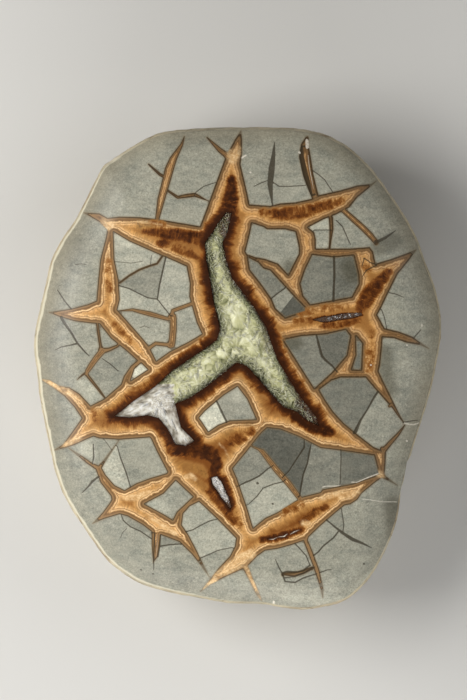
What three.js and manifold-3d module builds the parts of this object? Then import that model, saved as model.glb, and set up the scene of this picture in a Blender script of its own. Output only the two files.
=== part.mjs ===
// A septarian nodule, cut across and polished: grey limestone broken into blocks, with a star of
// calcite veins between them and a hollow full of small crystals down the middle of the star.
// It lies on its flat sawn back with the polished face up. Millimetres, +Z up out of that face,
// +Y towards the tall pointed arm of the star. The origin is on the surface that it rests on,
// under the middle of its outline.

import * as THREE from 'three';
import { mergeVertices } from 'three/addons/utils/BufferGeometryUtils.js';
import Module from 'manifold-3d';

const wasm = await Module();
wasm.setup();

// Size of the stone
const LENGTH = 200;
const HEIGHT = 56;

// The photograph looks straight at the polished face, so its pixels give places on it
const PHOTO_LENGTH = 484;
const PHOTO_MIDDLE_X = 237.75;
const PHOTO_MIDDLE_Y = 368.5;
const MM_PER_PIXEL = LENGTH / PHOTO_LENGTH;

// Form of the polished face: a slight crown, and a shoulder that rolls over at the rim
const CROWN = 3;
const ROLL = 9;
const ROLL_POWER = 12;
const RIM_SPREAD = 0.985;

// Form of the natural skin under the rim: the widest belt, and the sawn base that it curves in to
const WIDEST_HEIGHT = 36;
const BASE_SPREAD = 0.62;
const COLUMNS_PER_POINT = 2;
const WALL_STEPS = 7;
const FACE_SPREADS = [RIM_SPREAD, 0.965, 0.935, 0.895, 0.835, 0.74, 0.58, 0.38, 0.18, 0];

// Lumps of the skin, as waves: length in mm, compass angle and slope in degrees, depth in mm
const LUMP_WAVES = [
  [47, 10, 20, 1.0],
  [33, 75, -35, 0.8],
  [24, 140, 40, 0.6],
  [17, 35, 65, 0.45],
  [12, 110, 10, 0.3],
];

// Hollows: how far the floor lies under the face, and the room kept between stone and crystals
const SEAM_DEPTH = 12;
const POCKET_DEPTH = 8;
const SLIT_DEPTH = 6;
const CLEARANCE = 0.35;
const CRUST_FLOOR = 2.5;
const TIPS_UNDER_FACE = 2.2;

// Outline of the stone in photograph pixels, clockwise from the top
const OUTLINE = [
  [240, 126.5], [270, 126.5], [300, 128], [321, 132], [335, 138], [350, 147], [370, 166],
  [390, 192], [410, 223], [418.5, 240], [425.5, 260], [433.5, 280], [439, 300], [442, 322],
  [441.3, 340], [436.5, 367], [432, 389], [426.5, 408], [418, 435], [411.5, 456], [406, 478],
  [401.5, 497], [396.5, 524], [385, 553], [368.5, 580.5], [350.5, 598], [340, 603.5], [322, 608], [304, 610.5], [280, 608],
  [263, 605], [230, 604], [200, 599], [167, 592.5], [138, 583.5], [123, 574], [107, 561],
  [84, 529], [65, 499.5], [54, 470], [47.5, 440], [40, 404], [36, 370], [33.5, 351], [34, 333],
  [38.8, 310], [45.8, 280], [50.4, 260], [60.5, 240], [74, 220], [84.6, 200], [94.6, 180],
  [103.3, 165], [110, 160], [130, 146.5], [160, 132], [200, 127.5],
];

// Where the skin has broken away at the right edge, down to a height under the widest belt
const BREAK_OUTLINE = [
  [413, 452.5], [406.5, 461.5], [405.3, 468.5], [403.5, 480], [400.2, 489.5], [400.3, 498],
  [398.5, 512], [420, 512], [420, 452],
];
const BREAK_LOW_HEIGHT = 14;

// Rim of the main hollow: north arm, junction, long right arm and the pale arm at the lower left
const SEAM_RIM = [
  [232, 213], [226, 213], [219, 222], [213, 232], [205, 243], [206, 260], [210, 280],
  [213, 300], [218, 320], [220, 330], [217, 340], [200, 352], [171.5, 371], [155, 386.5],
  [134, 400.5], [122.5, 410], [115, 416], [130.5, 417.5], [148, 415], [159, 418],
  [167.5, 428], [175.5, 444], [186, 445.5], [195, 440.5], [181.5, 427], [179.5, 419],
  [175.5, 403.7], [190, 397.6], [206, 387], [222.5, 374], [237, 362.5], [247, 366],
  [257.5, 378], [272, 395], [283.5, 407], [297, 411.6], [305, 419], [319, 426],
  [314.6, 415], [300.5, 397.3], [289.6, 380.4], [278, 361], [272, 346], [266.7, 328],
  [254, 307.5], [243, 293], [233, 280], [226, 260], [223, 243], [228, 232],
];

// Rim of the small hollow in the lower arm, and of the slit in the right arm
const POCKET_RIM = [
  [211, 477], [217, 475.4], [221.6, 480.7], [225.2, 488.8], [228.8, 496], [231.4, 505.7],
  [230.5, 509], [221.6, 497.7], [215.4, 488.8], [211.8, 483.4],
];
const SLIT_RIM = [
  [312, 319.8], [321, 317], [331, 315.6], [341, 313.6], [351, 312.8], [361, 312.6],
  [362, 315.6], [351, 318.6], [341, 320], [331, 321.8], [321, 322.6],
];

// West of this pixel the crystals of the main hollow are white blocks, not green points
const WHITE_LIMIT_X = 177;
const WHITE_LIMIT_Y = 384;

function onFace([pixelX, pixelY]) {
  const x = (pixelX - PHOTO_MIDDLE_X) * MM_PER_PIXEL;
  const y = (PHOTO_MIDDLE_Y - pixelY) * MM_PER_PIXEL;
  return new THREE.Vector2(x, y);
}

// Height of the polished face at a spread, the share of the way from its middle to the outline
function faceHeight(spread) {
  return HEIGHT - CROWN * spread ** 2 - ROLL * spread ** ROLL_POWER;
}

// How far the skin sinks under its smooth form at a place, from nothing to a few millimetres
function lumpDepth(x, y, z) {
  let sum = 0;
  let most = 0;
  for (const [wavelength, compass, slope, depth] of LUMP_WAVES) {
    const turn = THREE.MathUtils.degToRad(compass);
    const tilt = THREE.MathUtils.degToRad(slope);
    const along = (x * Math.cos(turn) + y * Math.sin(turn)) * Math.cos(tilt) + z * Math.sin(tilt);
    sum += depth * Math.sin((2 * Math.PI * along) / wavelength);
    most += depth;
  }
  return (sum + most) / 2;
}

function closed(geometry) {
  geometry.deleteAttribute('normal');
  geometry.deleteAttribute('uv');
  return mergeVertices(geometry, 1e-4);
}

function toSolid(geometry) {
  const merged = closed(geometry);
  const corners = [];
  for (let i = 0; i < merged.index.count; i += 3) {
    const triangle = [merged.index.getX(i), merged.index.getX(i + 1), merged.index.getX(i + 2)];
    if (new Set(triangle).size === 3) {
      corners.push(...triangle);
    }
  }
  return new wasm.Manifold(new wasm.Mesh({
    numProp: 3,
    vertProperties: new Float32Array(merged.attributes.position.array),
    triVerts: new Uint32Array(corners),
  }));
}

function toMesh(name, solid, material) {
  const { vertProperties, triVerts } = solid.getMesh();
  const geometry = new THREE.BufferGeometry();
  geometry.setAttribute('position', new THREE.BufferAttribute(vertProperties, 3));
  geometry.setIndex(new THREE.BufferAttribute(triVerts, 1));
  const mesh = new THREE.Mesh(geometry, material);
  mesh.name = name;
  return mesh;
}

// The rings of the stone from the middle of the base to the middle of the face, each a spread
// and a height; only the rings between the base and the belt carry lumps
function stoneProfile() {
  const rings = [{ spread: 0, height: 0, rough: 0 }];
  for (let step = 0; step <= WALL_STEPS; step += 1) {
    const angle = (step / WALL_STEPS) * (Math.PI / 2);
    rings.push({
      spread: BASE_SPREAD + (1 - BASE_SPREAD) * Math.sin(angle),
      height: WIDEST_HEIGHT * (1 - Math.cos(angle)),
      rough: Math.sin(2 * angle),
    });
  }
  const rimHeight = faceHeight(RIM_SPREAD);
  const beltShoulder = 0.996;
  rings.push({ spread: beltShoulder, height: (WIDEST_HEIGHT + rimHeight) / 2, rough: 0 });
  for (const spread of FACE_SPREADS) {
    rings.push({ spread, height: faceHeight(spread), rough: 0 });
  }
  return rings;
}

// A turned blank whose columns are pushed out to the outline of the real stone
function stoneBlank() {
  const rings = stoneProfile();
  const columns = OUTLINE.length * COLUMNS_PER_POINT;
  const corners = OUTLINE.map(onFace).map((point) => new THREE.Vector3(point.x, point.y, 0));
  const outline = new THREE.CatmullRomCurve3(corners, true, 'centripetal');
  const profile = rings.map((ring) => new THREE.Vector2(ring.spread, ring.height));
  const geometry = new THREE.LatheGeometry(profile, columns);
  const position = geometry.attributes.position;
  for (let column = 0; column <= columns; column += 1) {
    const edge = outline.getPoint(1 - (column % columns) / columns);
    const reach = Math.hypot(edge.x, edge.y);
    rings.forEach((ring, index) => {
      const sunk = lumpDepth(edge.x, edge.y, ring.height) * ring.rough;
      const spread = ring.spread - sunk / reach;
      position.setXYZ(column * rings.length + index, edge.x * spread, edge.y * spread, ring.height);
    });
  }
  return toSolid(geometry);
}

function prism(points, lowZ, highZ) {
  const geometry = new THREE.ExtrudeGeometry(new THREE.Shape(points), {
    depth: highZ - lowZ,
    bevelEnabled: false,
  });
  geometry.translate(0, 0, lowZ);
  return toSolid(geometry);
}

// The same outline moved inwards by a distance
function insetOutline(points, distance) {
  const inward = Math.sign(THREE.ShapeUtils.area(points)) * distance;
  const sideNormal = (from, to) => new THREE.Vector2(from.y - to.y, to.x - from.x).normalize();
  return points.map((point, index) => {
    const first = sideNormal(points.at(index - 1), point);
    const second = sideNormal(point, points[(index + 1) % points.length]);
    const reach = inward / (1 + first.dot(second));
    return first.add(second).multiplyScalar(reach).add(point);
  });
}

function isInside(points, x, y) {
  let inside = false;
  points.forEach((a, index) => {
    const b = points[(index + 1) % points.length];
    const crosses = (a.y > y) !== (b.y > y);
    if (crosses && x < a.x + ((y - a.y) / (b.y - a.y)) * (b.x - a.x)) {
      inside = !inside;
    }
  });
  return inside;
}

// A number from 0 to 1 that looks like chance and is the same every time
function chance(seed) {
  const wave = Math.sin(seed * 127.1 + 311.7) * 43758.5453;
  return wave - Math.floor(wave);
}

// A six-sided crystal: a body with flat sides that tapers from its foot, and a flat-faced point
function crystal({ x, y, floor, tip, radius, bodyShare, lean, leanTo, turn }) {
  const length = tip - floor;
  const profile = [
    new THREE.Vector2(0, 0),
    new THREE.Vector2(radius * 1.25, 0),
    new THREE.Vector2(radius * 0.88, length * bodyShare),
    new THREE.Vector2(0, length),
  ];
  const geometry = new THREE.LatheGeometry(profile, 6);
  geometry.rotateX(Math.PI / 2);
  geometry.rotateZ(turn);
  geometry.rotateY(lean);
  geometry.rotateZ(leanTo);
  geometry.translate(x, y, floor);
  return toSolid(geometry);
}

// A crust: a floor with crystals standing on it, cut to fit the hollow with room all round
function crust(rim, depth, spacing, thinnest, thickest) {
  const points = insetOutline(rim.map(onFace), CLEARANCE);
  const floor = HEIGHT - depth + CLEARANCE;
  const box = new THREE.Box2().setFromPoints(points);
  const whiteLimit = onFace([WHITE_LIMIT_X, WHITE_LIMIT_Y]);
  let solid = prism(points, floor, floor + CRUST_FLOOR);
  let seed = 1;
  for (let row = 0; box.min.y + row * spacing < box.max.y; row += 1) {
    for (let place = 0; box.min.x + place * spacing < box.max.x; place += 1) {
      seed += 7;
      const shift = (row % 2) * 0.5;
      const x = box.min.x + (place + shift + 0.5 * chance(seed)) * spacing;
      const y = box.min.y + (row + 0.5 * chance(seed + 1)) * spacing;
      if (isInside(points, x, y)) {
        const white = x < whiteLimit.x && y < whiteLimit.y;
        const thickness = thinnest + (thickest - thinnest) * chance(seed + 2);
        solid = solid.add(crystal({
          x,
          y,
          floor: floor + 0.5,
          tip: HEIGHT - TIPS_UNDER_FACE - chance(seed + 3) * depth * 0.3,
          radius: white ? thickness * 1.35 : thickness,
          bodyShare: white ? 0.85 : 0.55 + 0.2 * chance(seed + 4),
          lean: THREE.MathUtils.degToRad(white ? 6 : 15) * chance(seed + 5),
          leanTo: 2 * Math.PI * chance(seed + 6),
          turn: Math.PI * chance(seed + 7),
        }));
      }
    }
  }
  return solid.intersect(prism(points, floor, HEIGHT));
}

function hollow(rim, depth) {
  return prism(rim.map(onFace), HEIGHT - depth, HEIGHT + 1);
}

const stone = stoneBlank()
  .subtract(prism(BREAK_OUTLINE.map(onFace), BREAK_LOW_HEIGHT, HEIGHT + 1))
  .subtract(hollow(SEAM_RIM, SEAM_DEPTH))
  .subtract(hollow(POCKET_RIM, POCKET_DEPTH))
  .subtract(hollow(SLIT_RIM, SLIT_DEPTH));

const limestone = new THREE.MeshStandardMaterial({ color: 0x9a9a90, roughness: 0.3, metalness: 0 });
const greenCalcite = new THREE.MeshStandardMaterial({ color: 0xb9ba92, roughness: 0.35, metalness: 0 });
const whiteCalcite = new THREE.MeshStandardMaterial({ color: 0xcfc8c4, roughness: 0.3, metalness: 0 });

const group = new THREE.Group();
group.add(toMesh('nodule', stone, limestone));
group.add(toMesh('seam_crystals', crust(SEAM_RIM, SEAM_DEPTH, 4.1, 1.8, 2.9), greenCalcite));
group.add(toMesh('pocket_crystals', crust(POCKET_RIM, POCKET_DEPTH, 2.6, 0.9, 1.4), whiteCalcite));
group.add(toMesh('slit_crystals', crust(SLIT_RIM, SLIT_DEPTH, 2.2, 0.7, 1.1), whiteCalcite));

export default group;
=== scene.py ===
# %% [markdown]
# A polished half of a septarian nodule.
# The stone formed as a ball of grey mud that dried, cracked like a star and filled with calcite.
# It was sawn in half and one face was polished, so the whole show is on that face.
# The lesson builds three things round a fixed frame: the stone with its drawn veins, the druse of
# small crystals in its hollows, and a plain studio to look at it in.

# %% Load the fixed frame
import math

import bpy
import numpy as np
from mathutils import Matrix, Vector, geometry, noise


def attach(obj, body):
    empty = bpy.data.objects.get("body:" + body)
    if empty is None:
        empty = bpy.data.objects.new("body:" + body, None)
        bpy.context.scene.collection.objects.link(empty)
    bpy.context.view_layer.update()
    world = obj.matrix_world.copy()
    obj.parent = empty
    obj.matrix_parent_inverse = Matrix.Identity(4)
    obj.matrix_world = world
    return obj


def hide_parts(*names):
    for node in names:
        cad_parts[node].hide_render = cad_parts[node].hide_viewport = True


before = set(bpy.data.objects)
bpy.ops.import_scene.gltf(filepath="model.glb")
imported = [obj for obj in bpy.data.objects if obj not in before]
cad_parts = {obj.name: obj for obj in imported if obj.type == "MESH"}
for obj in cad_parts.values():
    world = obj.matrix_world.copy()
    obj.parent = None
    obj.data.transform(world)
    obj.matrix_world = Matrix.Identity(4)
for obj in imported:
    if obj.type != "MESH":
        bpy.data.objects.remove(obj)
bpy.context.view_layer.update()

# %% [markdown]
# The photograph looks straight down on the polished face, so a place on the face can be named by
# the pixel where it shows. Everything flat is drawn in pixels first. One function turns a pixel
# into metres, and the stone's length in the frame sets the scale.

# %% From pixels to metres
PHOTO_SIZE = np.array([467.0, 700.0])
PHOTO_MIDDLE = np.array([237.75, 368.5])
PHOTO_LENGTH = 484.0
STONE_LENGTH = 0.2
STONE_HEIGHT = 0.056
PIXEL = STONE_LENGTH / PHOTO_LENGTH
SNAPS_PER_PIXEL = 1024


def snap(pixels):
    """Rounds pixels to a fine step that single precision holds exactly, so that rims meet."""
    return np.round(np.asarray(pixels, float) * SNAPS_PER_PIXEL) / SNAPS_PER_PIXEL


def on_face(pixels):
    """Where pixels lie, in metres from the middle of the stone."""
    return (np.atleast_2d(np.asarray(pixels, float)) - PHOTO_MIDDLE) * [PIXEL, -PIXEL]


def to_pixels(points):
    return points[:, :2] / [PIXEL, -PIXEL] + PHOTO_MIDDLE


def in_space(pixels, heights):
    return np.column_stack([on_face(pixels), np.broadcast_to(heights, len(pixels))])


def from_middle(pixels):
    """The direction of each pixel from the middle of the stone, as an angle, and how far it is."""
    offset = (np.asarray(pixels, float) - PHOTO_MIDDLE) * [1, -1]
    return np.arctan2(offset[:, 1], offset[:, 0]), np.hypot(*offset.T)


print("one pixel is", round(PIXEL * 1000, 3), "mm")

# %% [markdown]
# The outline is a closed curve through given points, the same that the solid uses. A
# centripetal curve passes through every point and never loops, which suits an uneven stone. A chip
# on the lower right edge is a short line of its own that the outline may not pass.

# %% Draw the outline
OUTLINE = [
    (240, 126.5), (270, 126.5), (300, 128), (321, 132), (335, 138), (350, 147), (370, 166),
    (390, 192), (410, 223), (418.5, 240), (425.5, 260), (433.5, 280), (439, 300), (442, 322),
    (441.3, 340), (436.5, 367), (432, 389), (426.5, 408), (418, 435), (411.5, 456), (406, 478),
    (401.5, 497), (396.5, 524), (385, 553), (368.5, 580.5), (350.5, 598), (340, 603.5), (322, 608),
    (304, 610.5), (280, 608), (263, 605), (230, 604), (200, 599), (167, 592.5), (138, 583.5),
    (123, 574), (107, 561), (84, 529), (65, 499.5), (54, 470), (47.5, 440), (40, 404), (36, 370),
    (33.5, 351), (34, 333), (38.8, 310), (45.8, 280), (50.4, 260), (60.5, 240), (74, 220),
    (84.6, 200), (94.6, 180), (103.3, 165), (110, 160), (130, 146.5), (160, 132), (200, 127.5),
]
CHIPPED_EDGE = [
    (413, 452.5), (406.5, 461.5), (405.3, 468.5), (403.5, 480), (400.2, 489.5), (400.3, 498),
    (398.5, 512),
]
POINTS_PER_SPAN = 9


def smooth_loop(points, per_span):
    """A closed centripetal Catmull-Rom curve through the points."""
    corners = np.asarray(points, float)
    rows = []
    for i in range(len(corners)):
        p0, p1, p2, p3 = (corners[(i + k) % len(corners)] for k in (-1, 0, 1, 2))
        d0, d1, d2 = (math.sqrt(np.hypot(*(b - a))) for a, b in ((p0, p1), (p1, p2), (p2, p3)))
        t1 = ((p1 - p0) / d0 - (p2 - p0) / (d0 + d1) + (p2 - p1) / d1) * d1
        t2 = ((p2 - p1) / d1 - (p3 - p1) / (d1 + d2) + (p3 - p2) / d2) * d1
        square, cube = 3 * (p2 - p1) - 2 * t1 - t2, 2 * (p1 - p2) + t1 + t2
        shares = [k / per_span for k in range(per_span)]
        rows += [p1 + t1 * t + square * t**2 + cube * t**3 for t in shares]
    return np.array(rows)


rim = smooth_loop(OUTLINE, POINTS_PER_SPAN)
rim_angle, rim_reach = from_middle(rim)
by_angle = np.argsort(rim_angle)


def outline_reach(pixels):
    """How far each pixel is from the middle, and how far the outline is in its direction."""
    angle, distance = from_middle(pixels)
    return distance, np.interp(angle, rim_angle[by_angle], rim_reach[by_angle], period=2 * math.pi)


print("outline points:", len(rim))

# %% [markdown]
# The veins follow the cracks of the dried mud. They are drawn as one outer loop, the star, with
# the blocks of grey stone inside it as islands. Each loop has only the corners that its shape
# needs, because the real edges are nearly straight from corner to corner.

# %% Draw the star and its islands
STAR = [
    (241, 131), (242, 140), (242, 155), (240.5, 165), (244, 180), (247.5, 195), (249.5, 205),
    (262, 206), (270, 206.5), (280, 204), (295, 203), (311, 199.5), (318, 196), (340, 191),
    (357, 186), (371, 184.5), (376, 181.5), (368, 189), (357, 198), (349, 208), (336, 215),
    (323, 220), (308, 228), (314, 233), (315.5, 240), (315.5, 249), (350, 249), (369, 247.5),
    (372.5, 252), (375, 264), (390, 259.5), (405.8, 253.8), (416, 249.8), (408.3, 260.8),
    (397, 274.5), (388.3, 291.7), (380.4, 308.3), (376.7, 315), (384, 328.3), (398.3, 331.7),
    (411.7, 336.7), (428, 348.5), (420.8, 345.4), (405, 342.5), (393.3, 338.3), (382, 337.5),
    (381.5, 345), (379.5, 365), (378, 371), (382.5, 381), (391, 398), (403, 422.5), (396.5, 413.5),
    (384, 399.5), (369, 382.5), (365, 377.5), (340, 377.5), (331, 380.5), (319, 389.5),
    (325, 400), (333, 411.5), (343, 422.5), (358, 435), (373, 446.5), (381, 449.8), (391, 441),
    (399, 432), (404.3, 424.8), (397, 437), (389, 447), (385.5, 451.5), (385, 462), (384, 473.5),
    (385.5, 475.8), (397, 485), (388, 480.3), (381, 477.3), (375, 481.5), (365, 489.5), (361, 493),
    (357, 499), (350, 503.5), (344, 504.7), (335, 512), (320, 525), (308.5, 536), (307.5, 539.3),
    (312, 550), (319, 569), (323, 588), (322.6, 597), (319.5, 585.5), (313, 566), (303, 540),
    (290, 544.5), (277, 548), (265, 549.7), (257, 555.5), (248, 565), (252, 576), (259.2, 593),
    (261.6, 600), (256.5, 594), (249, 578.5), (243, 568), (230, 573.7), (210, 583.7),
    (200.5, 591), (208.8, 580.5), (218, 568), (230, 555), (235, 545), (236, 537.5), (218, 519),
    (204, 505.5), (199, 501), (190, 505.5), (183.5, 512.8), (182, 524), (189, 534.5), (198, 552),
    (209, 575.5), (201.8, 565.5), (191.8, 553), (179.5, 541), (161, 534), (160.5, 540),
    (158, 556), (153.5, 562), (152, 545), (152, 531), (143, 524), (128, 515.5), (120, 513.5),
    (105, 518), (93, 523), (103, 512), (110, 502.5), (112, 499), (111.5, 495.5), (101, 482),
    (96.3, 469), (87, 462.7), (69.5, 447.8), (83, 455.6), (93, 462.5), (99, 465), (104, 460),
    (111, 451), (119, 440.7), (114, 448.5), (106, 461), (102.5, 467.5), (106, 474), (115, 484.5),
    (125, 489.5), (137, 482.5), (150, 477.7), (166.5, 472.8), (167.8, 471.5), (157, 450.5),
    (151.5, 438.5), (150, 437), (120, 439.3), (100, 438), (94, 436.2), (88, 438.6), (76, 444.2),
    (65, 447.7), (54.5, 450), (64, 443.7), (76, 427), (82.3, 418), (75, 407), (65, 396), (55, 388),
    (42, 379.3), (50, 380.2), (60, 385.8), (70, 387.2), (80, 393.3), (91.3, 405.3), (105, 398.3),
    (121.5, 384), (124.3, 376), (131, 366), (137.5, 360.5), (127, 351), (111.3, 338.3),
    (100, 324), (92, 323.5), (75, 321.3), (60.4, 317), (49.6, 312.5), (72, 308.8), (88.3, 304.6),
    (97, 301), (98.8, 280), (100.8, 260), (106, 240), (108, 230), (100, 222.5), (84, 213),
    (100, 214), (108, 218.5), (120, 217.3), (140, 217.8), (160, 220), (200, 226.8), (205, 214),
    (215.5, 185), (225.5, 158), (235, 140),
]
ISLANDS = {
    "left_block": [
        (114, 232.5), (130, 242), (157.5, 254.2), (175.8, 262), (186.7, 267), (190, 284),
        (189.5, 297), (196.7, 322.5), (202, 334), (188.3, 342), (170, 351.3), (156.7, 360.8),
        (149.2, 345.8), (137.5, 332), (118, 310), (120.4, 300), (119.2, 280), (115, 260),
    ],
    "small_white_block": [(141.5, 363), (148, 369.5), (131.3, 380.3), (135, 369)],
    "diamond_block": [
        (237.5, 386.5), (224, 395), (205, 411), (199.5, 417.5), (208.5, 431), (218, 424.5),
        (230, 420), (256, 419), (247, 399),
    ],
    "upper_block": [
        (252, 224), (263, 227.5), (267, 230), (285, 230), (295, 232.5), (298.5, 248),
        (298.5, 254), (288, 275), (278, 264), (265, 259.3), (255, 257.5), (247, 254.5),
        (245.5, 252), (250, 234),
    ],
    "slanting_block": [
        (248, 258), (250, 270), (261, 284), (271.5, 299), (275.5, 308.5), (285, 317.5),
        (304.5, 311), (305, 308.5), (291, 294), (270, 271), (263, 268.8), (258, 263),
    ],
    "square_block": [
        (312, 255.5), (333, 258), (353, 256), (357.5, 275), (358, 284), (351, 297), (330, 300.8),
        (310, 304.5), (303, 296), (300.3, 284), (305, 270),
    ],
    "half_moon_block": [
        (283.5, 340), (300.8, 336.3), (325, 334.6), (345, 330), (349.5, 336), (346, 355),
        (331, 372.5), (314, 388), (300, 366),
    ],
    "sliver_block": [(355.5, 336.5), (361.5, 343.5), (360.3, 369.6), (351.5, 369.3), (356, 355)],
    "leaf_block": [
        (176, 480), (164, 493), (145, 503.2), (165, 514), (173, 519), (177, 511), (193, 496),
    ],
    "lower_block": [
        (267, 427.5), (280, 429), (299, 436.5), (320, 447.5), (340, 450), (373.5, 455),
        (378.5, 474), (352, 483.2), (322, 488.7), (320, 491.5), (302, 496), (277, 511.6),
        (265, 517.2), (253, 527), (248, 510), (237.3, 478.5), (232.7, 468), (246, 452),
        (258, 436.5), (262, 432),
    ],
}
print("star corners:", len(STAR), "islands:", len(ISLANDS))

# %% [markdown]
# Thin veins and hairline cracks are strokes: a row of points, each with half the stroke's width
# there. A few points give a whole crack, and its width can swell. In front of each thin vein stands
# a stretch, which says how much of the wide veins' layers it shows.

# %% Draw the thin veins
THIN_VEINS = [
    (1.5, [(184.5, 137, 0.3), (182, 145, 1.5), (173.3, 160, 3.7), (169.5, 170, 4.5),
           (167, 180, 4.2), (161.5, 200, 3.8), (157.5, 220, 2.1)]),
    (0.8, [(149, 165, 0.8), (160, 175, 1.5), (165, 178, 1.5)]),
    (1.0, [(166, 190, 1), (178, 198, 1.5), (187, 196.5, 2), (195, 195.5, 2), (207, 201, 0.4)]),
    (1.5, [(207, 138, 0.5), (213, 144, 1.5), (220, 151, 2.5), (228, 157, 3)]),
    (0.8, [(330.5, 219, 2.2), (331, 230, 2), (330, 240, 1.2), (329, 249, 1)]),
    (1.6, [(343, 211, 2.5), (353, 220, 3), (362, 228, 3), (370, 236, 3), (375, 242, 2.5)]),
    (1.3, [(120, 311, 0.5), (133, 310, 1.5), (140, 311.7, 2), (150, 314, 2.5), (168, 319, 2),
           (172, 318, 2.5)]),
    (1.3, [(172, 318, 2), (173, 311, 2), (181, 308, 2), (192, 304, 2)]),
    (1.2, [(173.5, 317, 3.5), (173.5, 330, 3.5), (172, 345, 3.5)]),
    (1.2, [(148, 349, 2), (156, 343.5, 2), (165, 344.5, 2), (171, 345, 2)]),
    (0.7, [(120.4, 283, 1), (130, 275.8, 1), (140, 270, 1), (150, 266.3, 1), (157.5, 264, 1),
           (163, 256, 1)]),
    (0.7, [(98, 323, 1.5), (99, 332, 1.5), (100.5, 342, 1.5), (102, 350, 1.5)]),
    (0.8, [(118, 346, 1.5), (110, 349.5, 2), (103, 351, 3)]),
    (1.3, [(102, 352, 3.2), (97, 358, 3), (92, 365, 2.8), (88, 371, 2.3), (87, 374, 1.8)]),
    (0.7, [(87, 374, 1.8), (91, 379, 1.6), (99, 389, 1.3), (105, 397, 0.9)]),
    (0.6, [(86, 373, 1.2), (83, 375, 0.9), (80, 377.5, 0.6), (78, 379.5, 0.2)]),
    (1.5, [(253, 446.5, 0.8), (258, 448.5, 1.2), (262, 451, 2.3), (266, 456, 2.6), (276, 469, 3),
           (288, 482.5, 3), (299, 497, 2.5)]),
    (0.5, [(284, 573, 1.5), (294, 573.5, 2.4), (303, 571, 2.2), (312, 567, 1.5)]),
    (0.8, [(307, 138, 1.5), (304.5, 146, 4), (304.5, 157, 5.8), (308, 176, 5.2), (315, 198, 3.6)]),
    (0.6, [(363.5, 258, 2.5), (366, 265, 4.5), (363, 274, 1.5)]),
    (1.3, [(383, 450, 2.6), (390, 442, 2.4), (397, 434.5, 1.8), (402, 428, 1), (404, 425, 0.4)]),
    (1.2, [(391, 404, 1.8), (396.5, 412.5, 1.4), (400, 418, 0.9), (403, 422, 0.4)]),
]
print("thin veins:", len(THIN_VEINS))

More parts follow.
